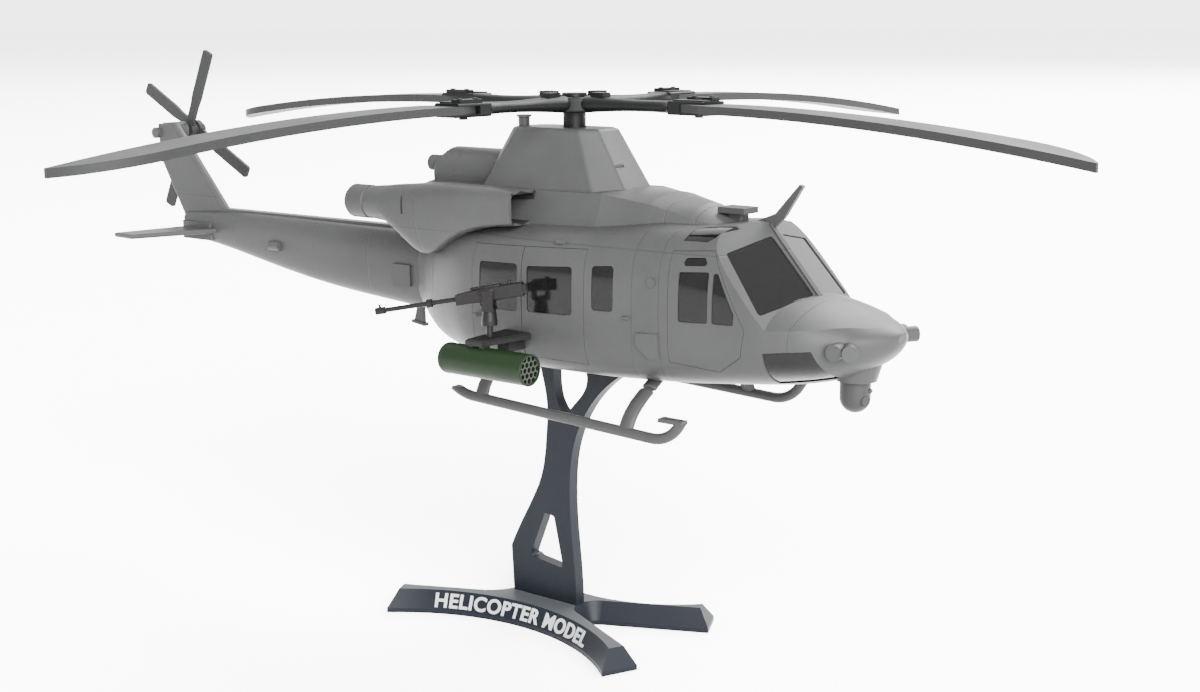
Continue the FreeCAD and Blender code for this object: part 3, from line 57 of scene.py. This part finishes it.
nodes = frame["nodes"]

# %% [markdown]
# ## Small helpers
# A shader group is built from a short list of nodes.
# Every group gives out only a value, a mask, a colour or a normal.

# %%
MM = 0.001
LIFT = 0.0785                 # height of the flat of the belly above the table
SEAM_HALF_WIDTH = 0.00022     # of the engraved panel lines
SMOOTH_ANGLE = math.radians(35.0)


def group(name, outputs, inputs=()):
    tree = bpy.data.node_groups.new(name, "ShaderNodeTree")
    for label, kind, value in inputs:
        item = tree.interface.new_socket(name=label, in_out="INPUT", socket_type=kind)
        item.default_value = value
    for label, kind in outputs:
        tree.interface.new_socket(name=label, in_out="OUTPUT", socket_type=kind)
    start = tree.nodes.new("NodeGroupInput") if inputs else None
    end = tree.nodes.new("NodeGroupOutput")
    return tree, start, end


def add(tree, kind, **settings):
    item = tree.nodes.new(kind)
    for key, value in settings.items():
        setattr(item, key, value)
    return item


def put(item, values):
    for key, value in values.items():
        item.inputs[key].default_value = value
    return item


def math_node(tree, operation, a, b=None, clamp=False):
    item = add(tree, "ShaderNodeMath", operation=operation, use_clamp=clamp)
    for slot, value in ((0, a), (1, b)):
        if value is None:
            continue
        if isinstance(value, (int, float)):
            item.inputs[slot].default_value = value
        else:
            tree.links.new(value, item.inputs[slot])
    return item.outputs[0]


def noise(tree, vector, scale, detail, rough):
    item = put(add(tree, "ShaderNodeTexNoise"), {"Scale": scale, "Detail": detail, "Roughness": rough})
    tree.links.new(vector, item.inputs["Vector"])
    return item.outputs["Fac"]


print("helpers ready")

# %% [markdown]
# ## Shared effects
# "Cloud" is a broad, soft change over a surface, the way satin paint dries unevenly.
# "Fine grain" is the very small bump of sprayed paint or moulded plastic.
# "Panel lines" are the thin engraved lines between the aircraft's skin panels.
# The soot-and-shade group darkens in streaks: behind the exhausts it is soot, and low down on the belly it is
# painted shade standing in for the shadow under the aircraft.

# %%
cloud, start, end = group("Cloud", [("Value", "NodeSocketFloat")], [("Scale", "NodeSocketFloat", 60.0)])
place = add(cloud, "ShaderNodeTexCoord")
broad = put(add(cloud, "ShaderNodeTexNoise"), {"Detail": 4.0, "Roughness": 0.6})
cloud.links.new(place.outputs["Object"], broad.inputs["Vector"])
cloud.links.new(start.outputs["Scale"], broad.inputs["Scale"])
ramp = put(add(cloud, "ShaderNodeMapRange"), {"From Min": 0.3, "From Max": 0.7})
cloud.links.new(broad.outputs["Fac"], ramp.inputs["Value"])
cloud.links.new(ramp.outputs["Result"], end.inputs["Value"])

grain, start, end = group("Fine grain", [("Height", "NodeSocketFloat")],
                          [("Scale", "NodeSocketFloat", 2500.0)])
place = add(grain, "ShaderNodeTexCoord")
fine = put(add(grain, "ShaderNodeTexNoise"), {"Detail": 2.0, "Roughness": 0.5})
grain.links.new(place.outputs["Object"], fine.inputs["Vector"])
grain.links.new(start.outputs["Scale"], fine.inputs["Scale"])
grain.links.new(fine.outputs["Fac"], end.inputs["Height"])

LINES_X = [-0.139, -0.122, -0.099, -0.074, -0.038, 0.0385, 0.0465, 0.081]
LINES_Z = [LIFT + 0.0362]
panel, start, end = group("Panel lines", [("Mask", "NodeSocketFloat")])
place = add(panel, "ShaderNodeTexCoord")
axes = add(panel, "ShaderNodeSeparateXYZ")
panel.links.new(place.outputs["Object"], axes.inputs[0])
total = 0.0
for coordinate, marks in (("X", LINES_X), ("Z", LINES_Z)):
    for mark in marks:
        off = math_node(panel, "ABSOLUTE", math_node(panel, "SUBTRACT", axes.outputs[coordinate], mark))
        share = math_node(panel, "DIVIDE", off, SEAM_HALF_WIDTH)
        near = math_node(panel, "SUBTRACT", 1.0, share, clamp=True)
        total = math_node(panel, "MAXIMUM", near, total)
panel.links.new(total, end.inputs["Mask"])

soot_shade_tree, start, end = group("Soot and belly shade", [("Mask", "NodeSocketFloat")])
place = add(soot_shade_tree, "ShaderNodeTexCoord")
stretch = add(soot_shade_tree, "ShaderNodeMapping")
stretch.inputs["Scale"].default_value = (0.25, 1.0, 1.0)
soot_shade_tree.links.new(place.outputs["Object"], stretch.inputs["Vector"])
streak = noise(soot_shade_tree, stretch.outputs["Vector"], 90.0, 5.0, 0.65)
axes = add(soot_shade_tree, "ShaderNodeSeparateXYZ")
soot_shade_tree.links.new(place.outputs["Object"], axes.inputs[0])
# Painted shade: this range darkens the lowest part of the fuselage, the belly, as if it lay in shadow.
low = put(add(soot_shade_tree, "ShaderNodeMapRange"), {"From Min": LIFT + 0.016, "From Max": LIFT - 0.004})
soot_shade_tree.links.new(axes.outputs["Z"], low.inputs["Value"])
# Soot: the streaks behind the exhausts.
rear = put(add(soot_shade_tree, "ShaderNodeMapRange"), {"From Min": -0.03, "From Max": -0.10})
soot_shade_tree.links.new(axes.outputs["X"], rear.inputs["Value"])
faint = math_node(soot_shade_tree, "MULTIPLY", rear.outputs["Result"], 0.5)
where = math_node(soot_shade_tree, "MAXIMUM", faint, low.outputs["Result"])
soot_shade_tree.links.new(math_node(soot_shade_tree, "MULTIPLY", where, streak, clamp=True), end.inputs["Mask"])
print("shader groups:", [g.name for g in bpy.data.node_groups])

# %% [markdown]
# ## Finishes
# One function makes each opaque finish from the shared groups.
# The colour wanders a little, the roughness wanders with it, and the bump is fine.

# %%
def effect(tree, name, **values):
    item = add(tree, "ShaderNodeGroup", node_tree=bpy.data.node_groups[name])
    return put(item, values)


def finish_material(name, colour, rough, wander=0.07, cloud_scale=60.0, grain_depth=0.06, grain_scale=2500.0,
                    metallic=0.0, lines=0.0, soot_and_shade=0.0, specular=0.045):
    material = bpy.data.materials.new(name)
    material.use_nodes = True
    tree = material.node_tree
    surface = tree.nodes["Principled BSDF"]
    surface.inputs["Metallic"].default_value = metallic
    surface.inputs["Specular IOR Level"].default_value = specular
    drift = effect(tree, "Cloud", Scale=cloud_scale)
    mix = add(tree, "ShaderNodeMix", data_type="RGBA")
    mix.inputs["A"].default_value = (*[c * (1.0 - wander) for c in colour], 1.0)
    mix.inputs["B"].default_value = (*[min(1.0, c * (1.0 + wander)) for c in colour], 1.0)
    tree.links.new(drift.outputs["Value"], mix.inputs["Factor"])
    shade = mix.outputs["Result"]
    spread = put(add(tree, "ShaderNodeMapRange"), {"To Min": rough - 0.05, "To Max": rough + 0.05})
    tree.links.new(drift.outputs["Value"], spread.inputs["Value"])
    tree.links.new(spread.outputs["Result"], surface.inputs["Roughness"])
    small = effect(tree, "Fine grain", Scale=grain_scale)
    height = math_node(tree, "MULTIPLY", small.outputs["Height"], grain_depth)
    if lines:
        seams = effect(tree, "Panel lines")
        darker = add(tree, "ShaderNodeMix", data_type="RGBA")
        darker.inputs["B"].default_value = (*[c * 0.45 for c in colour], 1.0)
        tree.links.new(math_node(tree, "MULTIPLY", seams.outputs["Mask"], lines), darker.inputs["Factor"])
        tree.links.new(shade, darker.inputs["A"])
        shade = darker.outputs["Result"]
        height = math_node(tree, "SUBTRACT", height, seams.outputs["Mask"])
    # Soot streaks at the rear and painted shade low on the belly darken the colour here.
    if soot_and_shade:
        soot_shade_node = effect(tree, "Soot and belly shade")
        soot_shade_mix = add(tree, "ShaderNodeMix", data_type="RGBA")
        soot_shade_mix.inputs["B"].default_value = (*[c * 0.6 for c in colour], 1.0)
        tree.links.new(math_node(tree, "MULTIPLY", soot_shade_node.outputs["Mask"], soot_and_shade), soot_shade_mix.inputs["Factor"])
        tree.links.new(shade, soot_shade_mix.inputs["A"])
        shade = soot_shade_mix.outputs["Result"]
    tree.links.new(shade, surface.inputs["Base Color"])
    bump = put(add(tree, "ShaderNodeBump"), {"Strength": 0.35, "Distance": 0.0002})
    tree.links.new(height, bump.inputs["Height"])
    tree.links.new(bump.outputs["Normal"], surface.inputs["Normal"])
    return material


def window_material(name, colour, alpha):
    material = bpy.data.materials.new(name)
    material.use_nodes = True
    tree = material.node_tree
    surface = tree.nodes["Principled BSDF"]
    surface.inputs["Base Color"].default_value = (*colour, 1.0)
    surface.inputs["IOR"].default_value = 1.49
    surface.inputs["Specular IOR Level"].default_value = 0.07
    drift = effect(tree, "Cloud", Scale=90.0)
    spread = put(add(tree, "ShaderNodeMapRange"), {"To Min": 0.05, "To Max": 0.12})
    tree.links.new(drift.outputs["Value"], spread.inputs["Value"])
    tree.links.new(spread.outputs["Result"], surface.inputs["Roughness"])
    depth = put(add(tree, "ShaderNodeMapRange"), {"To Min": alpha - 0.02, "To Max": alpha + 0.02})
    tree.links.new(drift.outputs["Value"], depth.inputs["Value"])
    tree.links.new(depth.outputs["Result"], surface.inputs["Alpha"])
    return material


# For each name: the colour, the roughness, and any value that differs from finish_material's own.
PAINTS = {
    # The airframe is darkened by soot at the rear and by painted shade low on the belly.
    "airframe_grey": ((0.0118, 0.0119, 0.0120), 0.42, {"lines": 0.5, "soot_and_shade": 0.35}),
    "stand": ((0.0017, 0.0022, 0.0033), 0.45, {"cloud_scale": 35.0, "grain_depth": 0.1}),
    # Painted light: a paler copy of the stand colour for the base's lit upper faces.
    "stand_top": ((0.0175, 0.0185, 0.0200), 0.5, {"cloud_scale": 35.0, "grain_depth": 0.1}),
    "screw_steel": ((0.05, 0.05, 0.052), 0.3, {"metallic": 1.0, "grain_scale": 900.0}),
    "interior_dark": ((0.003, 0.003, 0.003), 0.7, {}),
    "seat_cloth": ((0.006, 0.0062, 0.0065), 0.85, {"grain_depth": 0.5, "grain_scale": 1500.0}),
    "antenna_pale": ((0.0095, 0.0095, 0.0092), 0.55, {}),
    "cutter_dark": ((0.0100, 0.0102, 0.0105), 0.45, {}),
    "pod_olive": ((0.0018, 0.0045, 0.0014), 0.45, {"wander": 0.12}),
    "pod_face": ((0.0088, 0.0105, 0.0080), 0.5, {}),
    # Painted shade: the dark inside of the pod's tube holes.
    "tube_hole": ((0.0014, 0.0022, 0.0014), 0.8, {}),
    "gun_brown": ((0.0022, 0.0020, 0.0020), 0.45, {"wander": 0.14}),
    "turret_grey": ((0.0082, 0.0082, 0.0084), 0.4, {}),
    "lens_glass": ((0.001, 0.001, 0.0012), 0.15, {"grain_depth": 0.0, "specular": 0.15}),
    "rotor_dark": ((0.0058, 0.0060, 0.0060), 0.5, {"cloud_scale": 40.0}),
    "hub_dark": ((0.0012, 0.0013, 0.0013), 0.5, {"cloud_scale": 40.0}),
    "arm_dark": ((0.0030, 0.0029, 0.0029), 0.45, {}),
    "mast_black": ((0.001, 0.001, 0.001), 0.45, {}),
    "lettering": ((0.130, 0.133, 0.135), 0.5, {}),
}
FINISH = {}
for name, (colour, rough, extra) in PAINTS.items():
    FINISH[name] = finish_material(name, colour, rough, **extra)
FINISH["window_tint"] = window_material("window_tint", (0.0016, 0.0016, 0.0017), 0.97)
print("finishes:", len(FINISH))

# %% [markdown]
# ## Giving every CAD piece its finish
# The record's own slot picks the finish, apart from a few pieces with a second look.

# %%
slot_of = {row["node"]: row["material_slot"] for row in frame["record"]["subparts"]}
special = {
    "turret_head": "turret_grey",
    "pilot_seats": "seat_cloth",
    "rotor_mast": "mast_black",
    "rotor_hub": "hub_dark",
    "blade_bolts": "hub_dark",
    "weapon_arm_right": "arm_dark",
    "weapon_arm_left": "arm_dark",
}
for name, item in nodes.items():
    item.data.materials.clear()
    item.data.materials.append(FINISH[special.get(name, slot_of[name])])
print("CAD nodes with a finish:", sum(1 for item in nodes.values() if item.data.materials))

# %% [markdown]
# The base's upper face is painted paler than its sides: painted light, a lighter copy of the stand colour for
# the light falling on the faces that look up.
# A second finish goes on the faces that look upwards, and on each pod face's holes, where a dark finish is
# painted shade for the inside of the tubes.

# %%
item = nodes["stand_base"]
item.data.materials.append(FINISH["stand_top"])
for face in item.data.polygons:
    if face.normal.z > 0.9:
        face.material_index = 1
item = nodes["pod_bulkheads"]
item.data.materials.append(FINISH["tube_hole"])
front = max(v.co.x for v in item.data.vertices)
for face in item.data.polygons:
    if face.center.x < front - 0.0001:
        face.material_index = 1
print("paler top faces:", sum(f.material_index for f in nodes["stand_base"].data.polygons))

# %% [markdown]
# The insides of the exhausts and of the air intakes are painted dark and dull: painted shade for the shadow
# deep inside these hollows.
# Their faces are found by where they lie, in millimetres, and given the dark finish.

# %%
PIPE_SIDE, PIPE_HEIGHT, PIPE_REACH, PIPE_FRONT = 19.8, 120.4, 4.2, -51.0
INTAKE_SIDE, INTAKE_HALF_WIDTH, INTAKE_REAR = 18.1, 5.3, -18.5
INTAKE_FLOOR, INTAKE_ROOF = 117.9, 126.2


# Painted shade: faces that pass the test get the dark interior finish.
def paint_hollow_shade(name, test):
    item = nodes[name]
    item.data.materials.append(FINISH["interior_dark"])
    last = len(item.data.materials) - 1
    count = 0
    for face in item.data.polygons:
        if test(face.center / MM):
            face.material_index = last
            count += 1
    return count


def in_pipe(c):
    across = math.hypot(abs(c.y) - PIPE_SIDE, c.z - PIPE_HEIGHT)
    return across < PIPE_REACH and c.x < PIPE_FRONT


def in_intake(c):
    across = abs(abs(c.y) - INTAKE_SIDE)
    return c.x > INTAKE_REAR and across < INTAKE_HALF_WIDTH and INTAKE_FLOOR < c.z < INTAKE_ROOF


print("dark exhaust faces:", paint_hollow_shade("exhaust_pipes", in_pipe))
for side in ("right", "left"):
    print("dark intake faces:", side, paint_hollow_shade("nacelle_" + side, in_intake))

# %% [markdown]
# ## Making the small fitted pieces
# Each piece starts as a primitive, is shaped, and has its place worked into its vertices.
# So its object sits at the origin, unturned and unscaled, like the CAD pieces.

# %%
def fresh():
    if bpy.context.object and bpy.context.object.mode != "OBJECT":
        bpy.ops.object.mode_set(mode="OBJECT")
    bpy.ops.object.select_all(action="DESELECT")


def settle(name, finish, bevel=0.0):
    """Names the new piece, rounds its edges and works its place into its vertices."""
    piece = bpy.context.object
    piece.name = name
    bpy.ops.object.transform_apply(location=True, rotation=True, scale=True)
    if bevel:
        piece.modifiers.new("edges", "BEVEL")
        piece.modifiers["edges"].width = bevel * MM
        piece.modifiers["edges"].segments = 2
        piece.modifiers["edges"].limit_method = "ANGLE"
        bpy.ops.object.modifier_apply(modifier="edges")
    bpy.ops.object.shade_smooth_by_angle(angle=SMOOTH_ANGLE)
    piece.data.materials.clear()
    piece.data.materials.append(finish)
    return piece


def block(name, low, high, finish, bevel):
    fresh()
    middle = [(a + b) / 2 * MM for a, b in zip(low, high)]
    bpy.ops.mesh.primitive_cube_add(size=1.0, location=middle)
    bpy.context.object.scale = [(b - a) * MM for a, b in zip(low, high)]
    return settle(name, finish, bevel)


def rod(name, start, end, radius, finish, bevel=0.05, sides=32):
    fresh()
    start, end = Vector(start) * MM, Vector(end) * MM
    way = end - start
    bpy.ops.mesh.primitive_cylinder_add(vertices=sides, radius=radius * MM, depth=way.length,
                                        location=(start + end) / 2)
    bpy.context.object.rotation_euler = way.to_track_quat("Z", "Y").to_euler()
    return settle(name, finish, bevel)


def ring(name, centre, way, radius, thickness, finish):
    fresh()
    bpy.ops.mesh.primitive_torus_add(major_radius=radius * MM, minor_radius=thickness * MM, major_segments=64,
                                     minor_segments=12, location=Vector(centre) * MM)
    bpy.context.object.rotation_euler = Vector(way).to_track_quat("Z", "Y").to_euler()
    return settle(name, finish)


def join(name, pieces):
    fresh()
    for piece in pieces:
        piece.select_set(True)
    bpy.context.view_layer.objects.active = pieces[0]
    bpy.ops.object.join()
    bpy.context.object.name = name
    return bpy.context.object


def move(piece, matrix):
    """Carries a piece's vertices to a new place, its object staying at the origin."""
    piece.data.transform(matrix)
    if matrix.determinant() < 0:
        piece.data.flip_normals()
    piece.data.update()
    return piece


def twin(piece, name):
    """The same piece on the other side of the aircraft."""
    other = piece.copy()
    other.data = piece.data.copy()
    other.name = name
    bpy.context.scene.collection.objects.link(other)
    return move(other, Matrix.Scale(-1.0, 4, Vector((0, 1, 0))))


print("piece makers ready")

# %% [markdown]
# ## Raised lettering on the stand
# Plain words stand along the curved, sloping side of the base.
# The flat text is thickened, turned into a mesh, and bent round the base's own arc.

# %%
ARC_RADIUS = 61.5
ARC_CENTRE = (-10.8, -11.6 - ARC_RADIUS)
SLOPE_RUN, SLOPE_RISE, RIM = 2.7, 5.1, 1.3
LETTER_ARC = ARC_RADIUS + 1.3                   # the arc at the letters' middle height
SIDEWAYS, UP_SLOPE, OUTWARDS = -1.6, 0.75, 0.10
fresh()
bpy.ops.object.text_add()
words = bpy.context.object
words.data.body = "HELICOPTER MODEL"
words.data.align_x = "CENTER"
words.data.size = 0.0058
words.data.extrude = 0.00012
words.data.offset = 0.00016
words.data.space_character = 1.08
words.data.resolution_u = 6
bpy.ops.object.convert(target="MESH")
words = bpy.context.object
words.name = "base_lettering"
slope = math.hypot(SLOPE_RUN, SLOPE_RISE)
for vertex in words.data.vertices:
    along, up, out = vertex.co / MM
    along += SIDEWAYS
    up += UP_SLOPE
    out += OUTWARDS
    radius = ARC_RADIUS + (up * SLOPE_RUN - out * SLOPE_RISE) / slope
    turn = along / LETTER_ARC
    height = RIM + (up * SLOPE_RISE + out * SLOPE_RUN) / slope
    across, ahead = radius * math.sin(turn), radius * math.cos(turn)
    vertex.co = Vector((ARC_CENTRE[0] + across, ARC_CENTRE[1] + ahead, height)) * MM
words.data.materials.clear()
words.data.materials.append(FINISH["lettering"])
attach(words, "stand")
print("lettering faces:", len(words.data.polygons))

# %% [markdown]
# ## Rotor head details
# Each blade grip has two bolt heads on its cap, and the hub carries a ring of small nuts.

# %%
HUB = LIFT / MM + 70.6
parts = []
for k in range(4):
    angle = math.radians(-3.5 + 90.0 * k)
    turn = Matrix.Rotation(angle, 4, "Z")
    for r in (39.6, 45.2):
        bolt = rod("bolt", (r, 2.2, HUB + 2.6), (r, 2.2, HUB + 3.0), 0.75, FINISH["hub_dark"], 0.08, 6)
        parts.append(move(bolt, turn))
    plate = block("plate", (37.0, -3.6, HUB + 1.7), (46.6, 0.2, HUB + 2.1), FINISH["hub_dark"], 0.1)
    parts.append(move(plate, turn))
    nut = rod("nut", (5.0, 0, HUB + 1.6), (5.0, 0, HUB + 2.3), 0.7, FINISH["hub_dark"], 0.06, 6)
    parts.append(move(nut, Matrix.Rotation(angle + math.radians(45), 4, "Z")))
head = join("rotor_head_bolts", parts)
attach(head, "main_rotor")
print("rotor head pieces:", len(parts))

# %% [markdown]
# ## Side gun details
# They are drawn with the gun pointing straight back, then turned to its resting direction.

# %%
DROOP, OUTWARD = 9.5, 30.0
PINTLE = Vector((0.9, -37.0, LIFT / MM + 23.2)) * MM
rest = Matrix.Translation(PINTLE) @ Matrix.Rotation(math.radians(OUTWARD), 4, "Z") \
    @ Matrix.Rotation(math.radians(-DROOP), 4, "Y")
metal = FINISH["gun_brown"]
parts = [
    block("cover", (-4.6, -1.15, 1.7), (3.4, 1.15, 2.15), metal, 0.12),
    block("rear_sight", (5.2, -0.5, 1.7), (6.2, 0.5, 2.6), metal, 0.08),
    block("feed", (-2.6, -1.9, 0.2), (1.6, -1.4, 1.3), metal, 0.1),
    block("front_sight", (-29.8, -0.16, 0.3), (-29.2, 0.16, 1.5), metal, 0.05),
    rod("charging_handle", (3.0, 1.3, 0.2), (3.0, 2.1, 0.2), 0.3, metal),
]
for x in (-11.2, -13.0, -14.8):
    parts.append(ring("rib", (x, 0, -0.2), (1, 0, 0), 0.66, 0.1, metal))
gun = move(join("gun_details_right", parts), rest)
other = twin(gun, "gun_details_left")
for piece, side in ((gun, "right"), (other, "left")):
    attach(piece, "gun_" + side)
print("gun detail faces:", len(gun.data.polygons))

# %% [markdown]
# ## Pod bands, turret rim and door handles

# %%
green = FINISH["pod_olive"]
pod = (-42.0, LIFT / MM + 6.0)
parts = [ring("band", (x, pod[0], pod[1]), (1, 0, 0), 4.06, 0.11, green) for x in (-8.4, 18.6)]
bands = join("pod_bands_right", parts)
for piece in (bands, twin(bands, "pod_bands_left")):
    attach(piece, "airframe")

turn = Matrix.Translation(Vector((88.3, 0, 0)) * MM) @ Matrix.Rotation(math.radians(-18.0), 4, "Z")
eye = ring("turret_rim", (3.62, 0, LIFT / MM + 0.6), (1, 0, 0), 1.42, 0.16, FINISH["turret_grey"])
move(eye, turn)
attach(eye, "turret")

grey = FINISH["airframe_grey"]
handle = block("handle", (35.9, -26.55, LIFT / MM + 18.8), (38.1, -25.9, LIFT / MM + 19.5), grey, 0.12)
catch = block("catch", (-13.9, -27.0, LIFT / MM + 14.2), (-12.7, -26.3, LIFT / MM + 15.4), grey, 0.12)
handles = join("door_handles_right", [handle, catch])
for piece in (handles, twin(handles, "door_handles_left")):
    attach(piece, "airframe")
print("bands, rim and handles added")

# %% [markdown]
# ## Inside the cabin
# Head rests and two control sticks are just visible through the dark windows.

# %%
dark = FINISH["interior_dark"]
cloth = FINISH["seat_cloth"]
parts = []
for y in (-10.5, 10.5):
    parts.append(block("head_rest", (45.6, y - 2.6, 105.0), (48.2, y + 2.6, 111.0), cloth, 0.6))
    parts.append(block("seat_pad", (50.0, y - 4.6, 90.3), (59.2, y + 4.6, 91.6), cloth, 0.5))
    parts.append(rod("stick", (62.6, y, 84.0), (61.4, y, 95.0), 0.35, dark))
    parts.append(rod("grip", (61.4, y, 94.6), (61.2, y, 97.6), 0.6, dark, 0.2))
inside = join("cabin_details", parts)
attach(inside, "airframe")
print("cabin pieces:", len(parts))

# %% [markdown]
# ## Floor, light and camera
# The floor is broad and nearly white, so it melts into the pale background.
# A large soft lamp stands ahead of the nose on the camera's right.
# A weaker one fills in from above on the left side.

# %%
fresh()
bpy.ops.mesh.primitive_plane_add(size=60.0, location=(0, 0, -0.00005))
floor = bpy.context.object
floor.name = "floor"
pale = bpy.data.materials.new("pale_floor")
pale.use_nodes = True
shader = pale.node_tree.nodes["Principled BSDF"]
shader.inputs["Base Color"].default_value = (0.96, 0.96, 0.96, 1.0)
shader.inputs["Roughness"].default_value = 0.6
shader.inputs["Specular IOR Level"].default_value = 0.0
floor.data.materials.append(pale)

world = bpy.data.worlds.new("studio")
bpy.context.scene.world = world
world.use_nodes = True
world.node_tree.nodes["Background"].inputs["Color"].default_value = (1.0, 1.0, 1.0, 1.0)
world.node_tree.nodes["Background"].inputs["Strength"].default_value = 4.2


def lamp(name, place, target, size, power):
    fresh()
    bpy.ops.object.light_add(type="AREA", location=place)
    light = bpy.context.object
    light.name = name
    light.data.size = size
    light.data.energy = power
    light.visible_camera = False
    light.rotation_euler = (Vector(target) - Vector(place)).to_track_quat("-Z", "Y").to_euler()


lamp("key", (3.3, -2.25, 1.85), (0, 0, 0.10), 3.6, 3000.0)
lamp("fill", (0.2, 3.4, 3.4), (0, 0, 0.10), 3.6, 1300.0)

fresh()
bpy.ops.object.camera_add(location=(0.28230, -0.35138, 0.17092))
camera = bpy.context.object
camera.name = "photo_view"
right = Vector((0.78923, 0.61409, -0.00397)).normalized()
up = Vector((-0.11592, 0.15532, 0.98104)).normalized()
back = right.cross(up)
camera.rotation_euler = Matrix((right, up, back)).transposed().to_euler()
camera.data.sensor_width = 36.0
camera.data.lens = 49.3629
camera.data.clip_start = 0.01
camera.data.clip_end = 200.0
bpy.context.scene.camera = camera
print("camera at", tuple(round(v, 3) for v in camera.location))
